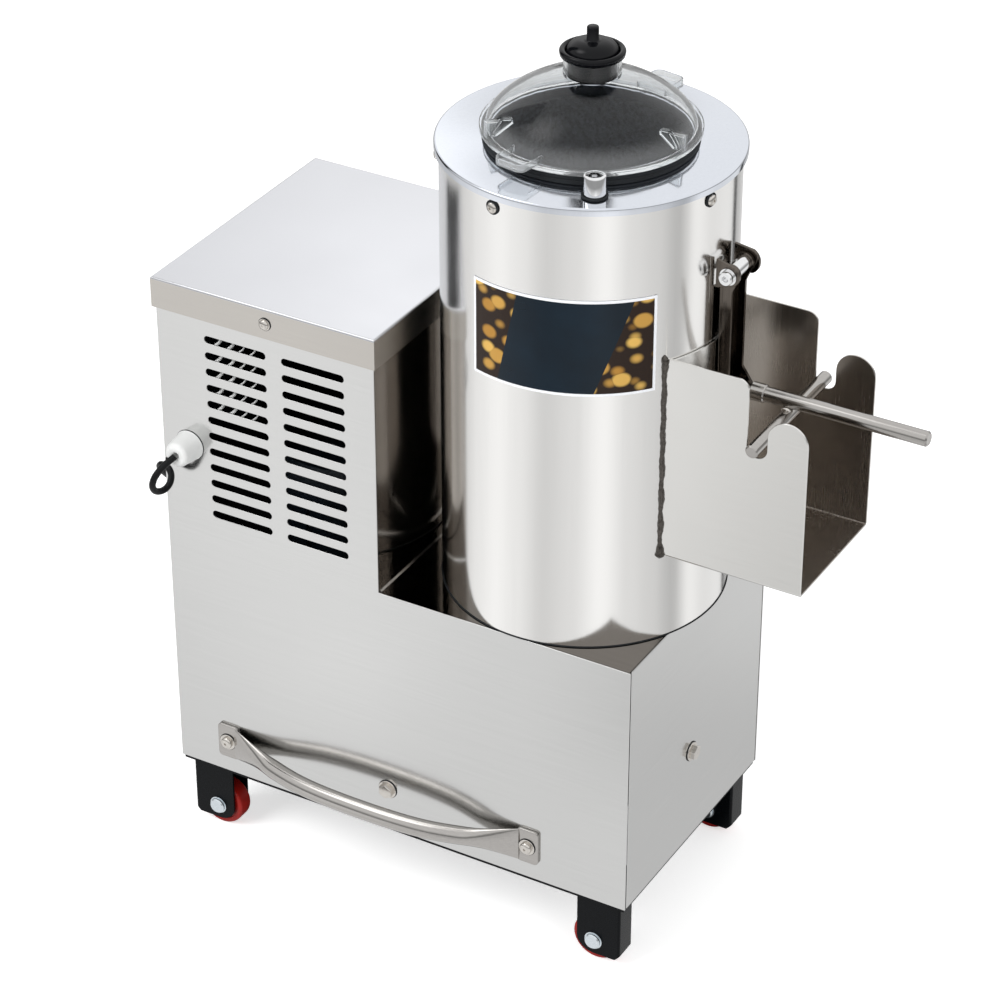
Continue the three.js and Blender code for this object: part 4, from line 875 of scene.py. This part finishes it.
def addDome(v):
    base, low, rim, neck = v.rimLevel + v.rimHeight, v.rimLevel, v.rim, v.neck
    quarter = [math.radians(90 * i / v.steps) for i in range(v.steps + 1)]
    outer = [(neck + v.reach * math.cos(t),
              base + v.arch * math.sin(t) + v.slope * (1 - math.cos(t))) for t in quarter]
    inner = [(r - v.wall, z - v.wall) for r, z in outer]
    profile = [(v.inner, low), (rim - 0.8, low), (rim, low + 0.8), (rim, base - 0.8),
               (rim - 0.8, base), (outer[0][0] + 1.2, base), (outer[0][0] + 0.3, base + 0.5)] \
        + outer[1:] + [(neck, v.neckTop - 0.6), (neck - 0.6, v.neckTop),
                       (neck - v.wall, v.neckTop)] + inner[::-1]
    spinPiece("dome_shell", profile, clearPlastic, "dome_lid", drumPoint, steps=128, closed=True,
              rides="lid", sharp=30)


# turns a piece drawn along x to its angle round the drum's axis
def turnRound(bm, angle):
    turned = Matrix.Translation(drumPoint) @ Matrix.Rotation(math.radians(angle), 4, "Z")
    bmesh.ops.transform(bm, matrix=turned, verts=bm.verts)


def addTab(v, name, angle):
    bm = bmesh.new()
    level = v.rimLevel + v.rimHeight - v.tabWall
    start, end, half, c = v.rim - 1, v.rim + v.tabLength, v.tabWidth / 2, v.tabCorner
    # a thin tray with a raised wall round three sides, whose ends run in over the rim
    points = [(start, -half)] + arc((end - c, -half + c), c, -90, 0, 8) \
        + arc((end - c, half - c), c, 0, 90, 8) + [(start, half)]
    verts = [bm.verts.new((x, y, level)) for x, y in points]
    bm.faces.new(verts)
    border = [bm.edges.get(pair) for pair in zip(verts, verts[1:])]
    horns = [bm.verts.new((start - v.tabHorn, y, level)) for y in (-half, half)]
    border = [bm.edges.new((horns[0], verts[0]))] + border + [bm.edges.new((verts[-1], horns[1]))]
    raised = vertsOf(bmesh.ops.extrude_edge_only(bm, edges=border))
    bmesh.ops.translate(bm, verts=raised, vec=(0, 0, v.tabHeight))
    turnRound(bm, angle)
    finishPiece(name, bm, clearPlastic, rides="lid", sharp=40, sheet=v.tabWall, bevel=0.4)


def addGusset(v, name, angle):
    bm = bmesh.new()
    end, base, half = v.rim - 0.6, v.rimLevel + v.rimHeight, v.gussetWidth / 2
    start, top = end - v.gussetLength, base + v.gussetHeight
    points = [(start, top), (start, top - 4), (end - 12, base - 0.6), (end, base - 0.6),
              (end, top + 1.6)]
    addSlab(bm, [(x, -half, z) for x, z in points], (0, 2 * half, 0))
    # only the two cheeks and the strip over their tops: the wedge is hollow
    under = [f for f in bm.faces if abs(f.normal.y) < 0.5 and f.calc_center_median().z < base + 4]
    bmesh.ops.delete(bm, geom=under, context="FACES")
    turnRound(bm, angle)
    finishPiece(name, bm, clearPlastic, rides="lid", sheet=v.gussetWall, bevel=0.35)


addSeal(seal)
addDome(lid)
addTab(lid, "dome_tab_front", lid.tabAngle)
addTab(lid, "dome_tab_back", lid.tabAngle + 180)
for gussetIndex, gussetAngle in enumerate(lid.gussetAngles):
    addGusset(lid, f"dome_gusset_{gussetIndex}", gussetAngle)

filler = Values(base=795.6, flange=29, flangeHeight=7, rim=2.8, groove=2.2, cone=7.6, knob=5.3,
                knobHeight=13, skirt=21.7, skirtLow=778.6, wall=2.5)


def addFiller(v):
    base, f, k, s, w = v.base, v.flange, v.knob, v.skirt, v.wall
    top = base + v.flangeHeight
    cone = top + v.cone
    tip = cone + v.knobHeight
    hill = [(k + 0.6 + (f - 6.9 - k) * math.cos(t),
             top - v.groove + (v.cone + v.groove) * math.sin(t))
            for t in map(math.radians, range(0, 91, 9))]
    profile = [(0, base + w), (s - w, base + w), (s - w, v.skirtLow), (s, v.skirtLow), (s, base),
               (f - 2.4, base), (f - 0.5, base + 1.2)] \
        + arc((f - v.rim, top - v.rim), v.rim, -10, 190, 14) + hill \
        + [(k, cone + 0.6), (k, tip - 1.4), (k - 0.5, tip - 0.4), (k - 1.4, tip), (0, tip)]
    spinPiece("filler_cap", profile, blackMoulding, "lid_plug", drumPoint, steps=96,
              rides="filler_plug", sharp=50)


addFiller(filler)

post = Values(reach=114, angle=-60, radius=9.8, base=718.3, height=20, sealHeight=2.5,
              socket=4.6, socketDepth=7, oringGap=0.05, oringWide=1, oringTall=1.2)


def addPost(v):
    turn = math.radians(v.angle)
    spot = drumPoint + Vector((v.reach * math.cos(turn), v.reach * math.sin(turn), 0))
    bm = bmesh.new()
    r, top = v.radius, v.base + v.height
    addSpin(bm, [(0, v.base), (r, v.base), (r, top - 1.2), (r - 0.4, top - 0.35),
                 (r - 1.2, top)], spot, steps=48, closed=False)
    rim = [e for e in bm.edges if len(e.link_faces) == 1]
    hexagon = bmesh.ops.create_circle(bm, cap_ends=False, radius=v.socket, segments=6,
                                      matrix=Matrix.Translation(spot + Vector((0, 0, top))))
    hexEdges = list({edge for vert in hexagon["verts"] for edge in vert.link_edges})
    bmesh.ops.triangle_fill(bm, use_beauty=True, use_dissolve=False, edges=rim + hexEdges)
    down = bmesh.ops.extrude_edge_only(bm, edges=hexEdges)
    low = vertsOf(down)
    bmesh.ops.translate(bm, verts=low, vec=(0, 0, -v.socketDepth))
    bmesh.ops.edgeloop_fill(bm, edges=[
        item for item in down["geom"] if isinstance(item, bmesh.types.BMEdge)
        and all(vert in low for vert in item.verts)])
    finishPiece("clamp_post", bm, chromeSteel, "lid_post")
    z = v.base + v.sealHeight / 2
    section = [(r + v.oringGap + v.oringWide * (1 + math.cos(t)), z + v.oringTall * math.sin(t))
               for t in map(math.radians, range(0, 360, 30))]
    spinPiece("clamp_post_oring", section, sealRubber, "lid_post", spot, steps=48, closed=True)


addPost(post)
print("lid made")

# ---- label on the drum ----
label = Values(inner=133.85, sheet=0.5, low=534, high=628, centre=-72.7, wide=73.7, steps=60)


def addLabel(v):
    bm = bmesh.new()
    r, wide = v.inner + v.sheet, math.radians(v.wide)
    first = math.radians(v.centre - v.wide / 2)
    addBand(bm, r, v.low, v.high, first, wide, v.steps)
    layer = bm.loops.layers.uv.new("UVMap")
    for face in bm.faces:
        for loop in face.loops:
            out = loop.vert.co - drumPoint
            loop[layer].uv = (r * (math.atan2(out.y, out.x) - first), out.z - v.low)
    finishPiece("drum_label", bm, printedSheet(r * wide, v.high - v.low), "label_plate",
                slot="label_face", sheet=v.sheet)


addLabel(label)
print("label made")

# ---- chute ----
chute = Values(bottom=359, top=563, end=633, sheet=2, front=64, back=204, corner=10,
               cornerCentre=(564.95, 553), slotCentre=(584.7, 498.72), slotRadius=9.75,
               humpCentre=(613.725, 511.725), humpRadius=19.275, fold=3.5, strips=14)


def addChute(v):
    drumEdge = body.drumX + 50
    outline = ([(drumEdge, v.bottom), (v.end, v.bottom)]
               + arc(v.humpCentre, v.humpRadius, 0, 180, 16)
               + arc(v.slotCentre, v.slotRadius, 0, -180, 14)
               + arc(v.cornerCentre, v.corner, 0, 90, 8) + [(drumEdge, v.top)])
    bm = bmesh.new()
    addSlab(bm, [(x, v.front, z) for x, z in outline], (0, v.back - v.front, 0))
    extra = [f for f in bm.faces if abs(f.normal.y) < 0.5
             and abs(f.calc_center_median().z - v.bottom) > 0.1]
    bmesh.ops.delete(bm, geom=extra, context="FACES")
    # triangles joined again leave each wall one clean flat face
    for face in list(bm.faces):
        bmesh.ops.triangulate(bm, faces=[face])
    bmesh.ops.dissolve_limit(bm, angle_limit=0.01, verts=bm.verts, edges=bm.edges)
    roundEdges(bm, foldsOf(bm), v.fold)
    # the floor is cut into strips, so that it can follow the drum's round side
    for i in range(1, v.strips):
        y = v.front + (v.back - v.front) * i / v.strips
        faces = [f for f in bm.faces if abs(f.normal.z) > 0.9]
        geometry = faces + list({e for f in faces for e in f.edges}) \
            + list({p for f in faces for p in f.verts})
        bmesh.ops.bisect_plane(bm, geom=geometry, plane_co=(0, y, 0), plane_no=(0, 1, 0))
    # points that lie inside the drum are moved along x on to its side
    radius = body.drumRadius + 0.3
    for vert in bm.verts:
        limit = body.drumX + math.sqrt(radius ** 2 - (vert.co.y - body.drumY) ** 2)
        vert.co.x = max(vert.co.x, limit)
    piece = finishPiece("chute_trough", bm, chuteSteel, "chute", sheet=v.sheet, bevel=0.35)
    # the trough's inner face takes the darker copy: painted shade
    piece.data.materials.append(shadedChuteInside)
    piece.modifiers["wall"].material_offset = 1


addChute(chute)

weld = Values(radius=2.1, steps=68, low=357, high=566)


def addWeld(name, v, y, side):
    x = body.drumX + math.sqrt(body.drumRadius ** 2 - (y - body.drumY) ** 2)
    places = []
    for i in range(v.steps + 1):
        z = v.low + (v.high - v.low) * i / v.steps
        # the welder's ripples, and a fuller drop at each end
        ripple = 1 + 0.12 * math.sin(i * 2.3) + 0.16 * math.sin(i * 0.61 + 1)
        full = 1 + 0.8 * max(0, 1 - min(i, v.steps - i) / 5)
        size = ripple * (0.5 if i in (0, v.steps) else full)
        places.append(Matrix.Translation((x + 0.6 * math.sin(i * 0.7), y + side * 0.6, z))
                      @ Matrix.Diagonal((size, size, 1, 1)))
    bm = bmesh.new()
    addSweep(bm, places, 12, v.radius)
    finishPiece(name, bm, weldMetal, "chute", sharp=60)


addWeld("chute_weld_front", weld, chute.front, -1)
addWeld("chute_weld_back", weld, chute.back, 1)
print("chute made")

# ---- door plate, arm, bracket and pins ----
door = Values(radius=134, sheet=2, half=65, low=366, high=560, steps=48)
pad = Values(radius=133.5, sheet=0.06, half=24, low=601, high=655, steps=24)
hinge = Values(x=526.5, z=628, latchX=533, latchZ=502, web=516.3, depth=12, half=15, sheet=3,
               fold=3, waist=22.5, eye=9, ear=14, ears=(10.5, 13), earIn=15.8, earOut=18.8,
               earRoot=135.6, pin=4, spacer=6.8, spacerHalf=11.6, headRadius=8, headHeight=4,
               nutRadius=6.5, nutHeight=7, latchPin=3.5, latchHead=6, latchHeadHeight=2.5)


def curvedPlate(name, v, material, stands, **finish):
    bm = bmesh.new()
    reach = math.asin(v.half / v.radius)
    addBand(bm, v.radius + v.sheet, v.low, v.high, -reach, 2 * reach, v.steps)
    finishPiece(name, bm, material, stands, sheet=v.sheet, **finish)


def addArm(v):
    y0, eye, web, front = body.drumY - v.half, v.eye, v.web, v.web + v.depth
    points = (arc((v.latchX, v.latchZ), eye, -162, 18, 12)
              + [(front, v.latchZ + v.waist), (front, v.z - eye * 2)]
              + arc((v.x, v.z), eye, 0, 180, 14) + [(web, v.z - eye * 2), (web, v.latchZ)])
    bm = bmesh.new()
    addSlab(bm, [(x, y0, z) for x, z in points], (0, 2 * v.half, 0))
    extra = [f for f in bm.faces if abs(f.normal.y) < 0.5
             and not (abs(f.calc_center_median().x - web) < 0.2)]
    bmesh.ops.delete(bm, geom=extra, context="FACES")
    roundEdges(bm, foldsOf(bm), v.fold)
    finishPiece("door_strap", bm, hingeSteel, "door_arm", rides="door", sheet=v.sheet, bevel=0.4)


def addEars(v):
    start = body.drumX + math.sqrt(v.earRoot ** 2 - v.earOut ** 2)
    for i, low in enumerate((-v.earOut, v.earIn)):
        points = [(start, v.z - v.ear)] + arc((v.x, v.z), v.ears[i], -60, 60, 16) \
            + [(start, v.z + v.ear)]
        slabPiece(f"hinge_ear_{i}", [(x, body.drumY + low, z) for x, z in points],
                  (0, v.earOut - v.earIn, 0), hingeSteel, "hinge_bracket", bevel=0.4)


def addPins(v):
    face, nut, head, pin = v.earOut + 0.3, v.nutRadius, v.headRadius, v.pin
    front, back = -face - v.nutHeight, face + v.headHeight
    profile = [(0, front + 3.2), (2.3, front + 3.2), (2.6, front + 0.5), (3.1, front),
               (nut - 0.9, front), (nut, front + 0.9), (nut, -face - 1.2), (head, -face - 1.2),
               (head, -face), (pin, -face), (pin, -v.spacerHalf), (v.spacer, -v.spacerHalf),
               (v.spacer, v.spacerHalf), (pin, v.spacerHalf), (pin, face), (head, face),
               (head, face + 2.6), (head * 0.7, back), (0, back)]
    spinPiece("hinge_bolt", profile, chromeSteel, "hinge_pin", (v.x, body.drumY, v.z), (0, 1, 0),
              32, sharp=30)
    face, r = v.half + 0.3, v.latchHead
    end = face + v.latchHeadHeight
    half = [(v.latchPin, 0), (v.latchPin, face), (r, face), (r, end - 0.8), (r - 0.8, end),
            (0, end)]
    spinPiece("latch_bolt", mirrored(half), chromeSteel, "latch_pin",
              (v.latchX, body.drumY, v.latchZ), (0, 1, 0), 32, rides="door", sharp=30)


curvedPlate("door_sheet", door, chuteSteel, "door_plate", rides="door", bevel=0.4)
addArm(hinge)
# the pad is ground flush with the drum
curvedPlate("hinge_pad", pad, drumSteel, "hinge_bracket", slot="satin_steel")
addEars(hinge)
addPins(hinge)
print("door and hinge made")

# ---- latch handle: heel, collar, rod and cross bar ----
latch = Values(rodZ=510.55, rodRadius=7, rodStart=545, rodEnd=715, collarRadius=8.5,
               collarLength=14, heel=7.5, heelBore=3.8, heelHalf=11.2, lugHalf=3.75, barX=582,
               barZ=497, barRadius=6.25, barFront=58, barBack=210, chamfer=1.4,
               weld=(4.6, 2.6, 2.8))


def addRod(v):
    bm = bmesh.new()
    axis = (0, body.drumY, v.rodZ)
    r, c, end, s = v.rodRadius, v.chamfer, v.rodEnd, v.rodStart
    addSpin(bm, [(0, s + 2), (r, s + 2), (r, end - c), (r - c, end), (0, end)], axis, (1, 0, 0),
            48, False)
    r, e, h, k = v.collarRadius, s + v.collarLength, v.heelHalf, v.lugHalf
    addSpin(bm, [(0, s), (r - 1, s), (r, s + 1), (r, e - 1), (r - 1, e), (0, e)], axis,
            (1, 0, 0), 48, False)
    addSpin(bm, [(v.heelBore, -h), (v.heel, -h), (v.heel, h), (v.heelBore, h)],
            (hinge.latchX, body.drumY, hinge.latchZ), (0, 1, 0), 32)
    lug = [(hinge.latchX + 4, hinge.latchZ - k), (s + 7, v.rodZ - 4.25), (s + 7, v.rodZ + 4.25),
           (hinge.latchX + 4, hinge.latchZ + 6)]
    addSlab(bm, [(x, body.drumY - k, z) for x, z in lug], (0, 2 * k, 0))
    finishPiece("latch_rod", bm, rodSteel, "handle_rod", rides="latch_handle")


def addBar(v):
    r, c = v.barRadius, v.chamfer
    spinPiece("latch_bar", [(0, v.barFront), (r - c, v.barFront), (r, v.barFront + c),
                            (r, v.barBack - c), (r - c, v.barBack), (0, v.barBack)], rodSteel,
              "cross_bar", (v.barX, 0, v.barZ), (0, 1, 0), 48, rides="latch_handle")
    bm = bmesh.new()
    seam = v.barZ + r + 0.3
    for side in (-1, 1):
        made = bmesh.ops.create_icosphere(bm, subdivisions=3, radius=1)["verts"]
        bmesh.ops.scale(bm, verts=made, vec=v.weld)
        bmesh.ops.translate(bm, verts=made, vec=(v.barX + 0.6 * side,
                                                 body.drumY + side * 6.2, seam + 0.4))
    finishPiece("latch_weld", bm, boltSteel, "cross_bar", rides="latch_handle",
                slot="satin_steel")


addRod(latch)
addBar(latch)
print("latch made")

# ---- pull handle and bolts ----
pull = Values(left=58.5, right=396.5, z=38, radius=9, reach=32, plateWidth=23, plateHeight=38,
              plateSheet=3, plateCorner=4, face=-0.3, crease=9, flat=50,
              shares=(0, 0.08, 0.28, 0.5, 0.72, 0.92, 1),
              bows=(0.1, 0.33, 0.87, 1, 0.87, 0.33, 0.1))


def addPullHandle(v):
    first, last = v.left + v.crease, v.right - v.crease
    path = smoothPath([(first + s * (last - first), -v.reach * b, v.z)
                       for s, b in zip(v.shares, v.bows)], 10)
    places = []
    for i, point in enumerate(path):
        # the tube's ends are flattened: thin across the panel and as tall as the plates
        flat = max(0.0, 1 - min(point.x - first, last - point.x) / v.flat)
        along, up = alongPath(path, i), Vector((0, 0, 1))
        turn = Matrix((up, along.cross(up), along)).transposed().to_4x4()
        places.append(Matrix.Translation(point) @ turn @ Matrix.Diagonal(
            (1 + flat ** 1.3, 1 - 0.8 * flat ** 0.8, 1, 1)))
    bm = bmesh.new()
    addSweep(bm, places, 32, v.radius)
    finishPiece("pull_tube", bm, rodSteel, "pull_handle")
    w, h = v.plateWidth / 2, v.plateHeight / 2
    for i, x in enumerate((v.left, v.right)):
        points = roundedRect(x - w, x + w, v.z - h, v.z + h, v.plateCorner)
        slabPiece(f"pull_plate_{i}", [(px, v.face, pz) for px, pz in points],
                  (0, -v.plateSheet, 0), rodSteel, "pull_handle", bevel=0.6)


addPullHandle(pull)

hexBolt = Values(washer=9.6, washerHeight=1.4, size=7.6, height=4.4, rim=0.9)


def addHexBolt(name, place, stands, v=hexBolt):
    # a thin black ring under the washer: painted shadow
    addShadeRing(name, place, v.washer)
    bm = bmesh.new()
    w, r = v.washerHeight, v.washer
    addSpin(bm, [(0, 0), (r, 0), (r, w - 0.3), (r - 0.3, w), (0, w)], steps=40, closed=False)
    head = bmesh.ops.create_circle(bm, cap_ends=True, radius=v.size, segments=6,
                                   matrix=Matrix.Translation((0, 0, w + 0.02)))["verts"]
    thicken(bm, [head[0].link_faces[0]], (0, 0, v.height - 0.02))
    top = [f for f in bm.faces if f.normal.z > 0.5 and f.calc_center_median().z > w + 1
           and len(f.verts) == 6]
    bmesh.ops.inset_region(bm, faces=top, thickness=v.rim, depth=0.5)
    bmesh.ops.transform(bm, matrix=place, verts=bm.verts)
    finishPiece(name, bm, boltSteel, stands, sharp=25)


# a low round head with a small recess: radius and height of each corner, washer first
capHead = [(0, 0), (8.5, 0), (8.5, 0.9), (8.2, 1.2), (6, 1.2), (6, 3.4), (5.2, 4.6), (3.6, 5.2),
           (1.3, 5.2), (1.1, 4.2), (0, 4.2)]
lidHead = [(0, 0), (6, 0), (6, 0.8), (5, 1), (5, 2), (4.2, 3.1), (2.4, 3.8), (1.2, 3.9),
           (0.9, 3.3), (0, 3.3)]


def addRoundBolt(name, place, stands, profile, steps):
    # a thin black ring under the head: painted shadow
    addShadeRing(name, place, profile[1][0])
    spinPiece(name, profile, boltSteel, stands, steps=steps, place=place, sharp=40)


# where each head sits
seats = Values(plate=pull.face - pull.plateSheet - 0.3, front=(241, -0.3, 46),
               side=(500.3, 130, 103), cover=(122, -3.3, 525.5))
addRoundBolt("pull_bolt_0", facing((pull.left, seats.plate, pull.z), (0, -1, 0)),
             "handle_bolt_left", capHead, 40)
addRoundBolt("pull_bolt_1", facing((pull.right, seats.plate, pull.z), (0, -1, 0)),
             "handle_bolt_right", capHead, 40)
addHexBolt("front_hex_bolt", facing(seats.front, (0, -1, 0)), "front_bolt")
addHexBolt("side_hex_bolt", facing(seats.side, (1, 0, 0)), "side_bolt")
addRoundBolt("cover_screw", facing(seats.cover, (0, -1, 0)), "lid_screw", lidHead, 32)
print("handle and bolts made")

# ---- CAD nodes that keep their shape get their finish ----
finishes = {
    "rear_wrap_panel": wrapSteel, "step_panel": shadedStepSteel, "deck_plate": shadedDeckSteel,
    "base_frame": blackEnamel, "motor_stand": blackEnamel, "motor_body": motorEnamel,
    "motor_shaft": boltSteel, "drive_shaft": boltSteel, "drive_pulley": castIron,
    "driven_pulley": castIron, "drive_belt": sealRubber, "bearing_housing": castIron,
    "upper_bearing": boltSteel, "lower_bearing": boltSteel, "drum_lining": grit,
    "drum_floor": chuteSteel, "peeling_disc": grit,
}
for nodeName, nodeFinish in finishes.items():
    data = nodes[nodeName].data
    data.materials.clear()
    data.materials.append(nodeFinish)
print("carried-over pieces finished:", len(finishes))

# ---- floor, lights and world ----
studio = Values(paper="#F4F4F4", glossyWorld=1.0, fill=0.55, floorSize=30, floorLevel=78.65,
                floorGlow=0.55, near=0.3, far=0.62, fadeStart=1.9, fadeEnd=4.2, dusk=0.34,
                brightest=1.2, shade=0.04, shadeSoft=0.03)
# How bright the floor is in a gloss, by the direction in degrees about the drum: pale card with
# darker strips between, as a photographer lays it for soft upright bands in bright metal
farCards = ((-180, 0.62), (-163, 0.8), (-150, 0.94), (-131, 1.06), (-113, 0.95), (-92, 0.74),
            (-72, 0.84), (-50, 1.08), (-30, 0.84), (-12, 0.74), (6, 0.55), (23, 1.0), (40, 0.86),
            (60, 0.9), (70, 0.86), (73, 0.05), (77, 0.05), (80, 0.55), (100, 0.7), (122, 0.84),
            (140, 0.62), (180, 0.62))
nearCards = ((-180, 0.92), (-60, 0.92), (-30, 0.84), (0, 0.74), (180, 0.7))


def addWorld(v):
    world = bpy.data.worlds.new("studio")
    world.use_nodes = True
    bpy.context.scene.world = world
    path = addNode(world, "LightPath").outputs
    seen = maths(world, "MAXIMUM", path["Is Camera Ray"], path["Is Glossy Ray"])
    seen = maths(world, "MAXIMUM", seen, path["Is Transmission Ray"])
    setInputs(world.node_tree.nodes["Background"], {
        "Color": (1, 1, 1, 1), "Strength": spread(world, seen, 0.0, 1.0, v.fill, v.glossyWorld)})


# a ramp of greys over a share of the whole turn
def cardRamp(material, share, stops, brightest):
    ramp = addNode(material, "ValToRGB", {"Fac": share})
    ramp.color_ramp.interpolation = "EASE"
    marks = ramp.color_ramp.elements
    while len(marks) < len(stops):
        marks.new(0.5)
    for mark, (degrees, tone) in zip(marks, stops):
        mark.position = (degrees + 180) / 360
        mark.color = (tone / brightest, tone / brightest, tone / brightest, 1)
    return ramp.outputs["Color"]


def addFloor(v):
    bm = bmesh.new()
    bmesh.ops.create_grid(bm, x_segments=1, y_segments=1, size=v.floorSize / 2)
    bmesh.ops.translate(bm, verts=bm.verts, vec=(0, 0, bodyCorner.z - v.floorLevel / 1000))
    material, shader = newMaterial("paperSweep", {"Roughness": 0.9, "Base Color": linear(v.paper)})
    # the paper is pale to the camera, with the object's shadow, and evenly pale in a gloss
    path = addNode(material, "LightPath").outputs
    setInputs(shader, {
        "Emission Color": (1, 1, 1, 1),
        "Emission Strength": maths(material, "MULTIPLY", path["Is Camera Ray"], v.floorGlow)})
    place = objectPlace(material)
    axes = axesOf(material, vectorMaths(material, "SUBTRACT", place, row(drumPoint)))
    turn = maths(material, "ARCTAN2", axes["Y"], axes["X"])
    share = spread(material, turn, -math.pi, math.pi)
    flat = addNode(material, "CombineXYZ", {"X": axes["X"], "Y": axes["Y"]}).outputs["Vector"]
    away = vectorMaths(material, "LENGTH", flat)
    cards = mixTone(material, spread(material, away, v.near, v.far, soft=True),
                    cardRamp(material, share, nearCards, v.brightest),
                    cardRamp(material, share, farCards, v.brightest))
    dusk = v.dusk / v.brightest
    seen = mixTone(material, spread(material, away, v.fadeStart, v.fadeEnd, soft=True), cards,
                   (dusk, dusk, dusk, 1))
    # the machine's own shade lies under it
    half = (body.length / 2, body.depth / 2, 0)
    off = vectorMaths(material, "ABSOLUTE", vectorMaths(material, "SUBTRACT", place, row(half)))
    sides = axesOf(material, vectorMaths(material, "SUBTRACT", off, Vector(half) / 1000))
    outside = maths(material, "MAXIMUM", sides["X"], sides["Y"])
    strength = spread(material, outside, -v.shadeSoft, 0.0, v.shade * v.brightest, v.brightest)
    even = addNode(material, "Emission", {"Color": seen, "Strength": strength})
    clear = maths(material, "MAXIMUM", path["Is Glossy Ray"], path["Is Transmission Ray"])
    both = addNode(material, "MixShader", {0: clear, 1: shader.outputs[0], 2: even.outputs[0]})
    setInputs(material.node_tree.nodes["Material Output"], {"Surface": both.outputs[0]})
    addObject("studio_floor", newMesh("studio_floor", bm, material))


# Two soft lamps, both aimed at the machine's middle
lampTarget = Vector((0, 0, 0.4))
lamps = {
    "softbox_left": Values(place=(-1.6, -2.2, 2.4), size=(1.6, 1.6), power=60),
    "softbox_right": Values(place=(2.4, -1.2, 2.0), size=(1.4, 1.8), power=28),
}


def addLamp(name, v):
    data = bpy.data.lights.new(name, "AREA")
    data.shape = "RECTANGLE"
    data.size, data.size_y = v.size
    data.energy = v.power
    lamp = addObject(name, data)
    lamp.location = v.place
    lamp.rotation_euler = aim(Vector(v.place) - lampTarget).to_euler()
    lamp.visible_glossy = lamp.visible_transmission = lamp.visible_camera = False


# Three things stand round the set that only a gloss sees: the studio's dim wall below the soft
# light, which gives bars and bolts their dark line, soft boxes for the highlights of the bars and
# of the cabinet's cover, and a black screen behind the cabinet.
wall = Values(radius=5, foot=-0.1, height=2.6, dim=0.34, brightFrom=0.5)
# Each box is a soft round glow: where it hangs, seen from a point of the machine, its reach and
# its added brightness
boxes = {
    "bar_box": Values(seenFrom=(250, 120, 300), towards=(-0.42, -0.22, 0.88), away=3.0, reach=1.0,
                      tone=3.2),
    "cover_box": Values(seenFrom=(70, 215, 545), towards=(-0.424, 0.734, 0.53), away=3.4,
                        reach=0.62, tone=0.42),
}
screen = Values(azimuth=172, distance=2.6, width=1.0, height=4.0, tone=0.05)


def addCard(name, bm, material):
    card = addObject(name, newMesh(name, bm, material))
    card.visible_camera = card.visible_diffuse = card.visible_shadow = False
    card.visible_transmission = False


def glowing(name):
    material = bpy.data.materials.new(name)
    material.use_nodes = True
    own = material.node_tree.nodes
    own.remove(own["Principled BSDF"])
    glow = addNode(material, "Emission")
    setInputs(own["Material Output"], {"Surface": glow.outputs[0]})
    return material, glow


def addWall(v):
    material, glow = glowing("studioWall")
    height = axesOf(material, objectPlace(material))["Z"]
    setInputs(glow, {"Strength": spread(material, height, v.brightFrom, v.height, v.dim, 1.0,
                                        soft=True)})
    bm = bmesh.new()
    low = bmesh.ops.create_circle(bm, cap_ends=False, radius=v.radius, segments=96)["verts"]
    bmesh.ops.translate(bm, verts=low, vec=(0, 0, v.foot))
    high = vertsOf(bmesh.ops.extrude_edge_only(bm, edges=bm.edges[:]))
    bmesh.ops.translate(bm, verts=high, vec=(0, 0, v.height - v.foot))
    addCard("studio_wall", bm, material)


def addBox(name, v):
    material, glow = glowing(name)
    out = Vector(v.towards).normalized()
    middle = row(v.seenFrom) + out * v.away
    off = vectorMaths(material, "DISTANCE", objectPlace(material), middle)
    setInputs(glow, {"Strength": spread(material, off, v.reach, 0.0, 0.0, v.tone, soft=True)})
    # the glow is added to what lies behind it
    through = addNode(material, "BsdfTransparent")
    both = addNode(material, "AddShader", {0: glow.outputs[0], 1: through.outputs[0]})
    setInputs(material.node_tree.nodes["Material Output"], {"Surface": both.outputs[0]})
    bm = bmesh.new()
    bmesh.ops.create_circle(bm, cap_ends=True, radius=v.reach, segments=48,
                            matrix=facing(middle, out))
    addCard(name, bm, material)


def addScreen(v):
    material, glow = glowing("blackScreen")
    setInputs(glow, {"Strength": v.tone})
    turn = math.radians(v.azimuth)
    out = Vector((math.cos(turn), math.sin(turn), 0))
    middle = row(drumPoint) + out * v.distance
    middle.z = v.height / 2
    bm = bmesh.new()
    made = bmesh.ops.create_grid(bm, x_segments=1, y_segments=1, size=0.5)["verts"]
    bmesh.ops.scale(bm, verts=made, vec=(v.width, v.height, 1))
    bmesh.ops.transform(bm, verts=made, matrix=facing(middle, out))
    addCard("studio_screen", bm, material)


addWorld(studio)
addFloor(studio)
addWall(wall)
for boxName, boxValues in boxes.items():
    addBox(boxName, boxValues)
addScreen(screen)
for lampName, lampValues in lamps.items():
    addLamp(lampName, lampValues)
print("studio lit")

scene = bpy.context.scene
scene.view_settings.view_transform = "Standard"
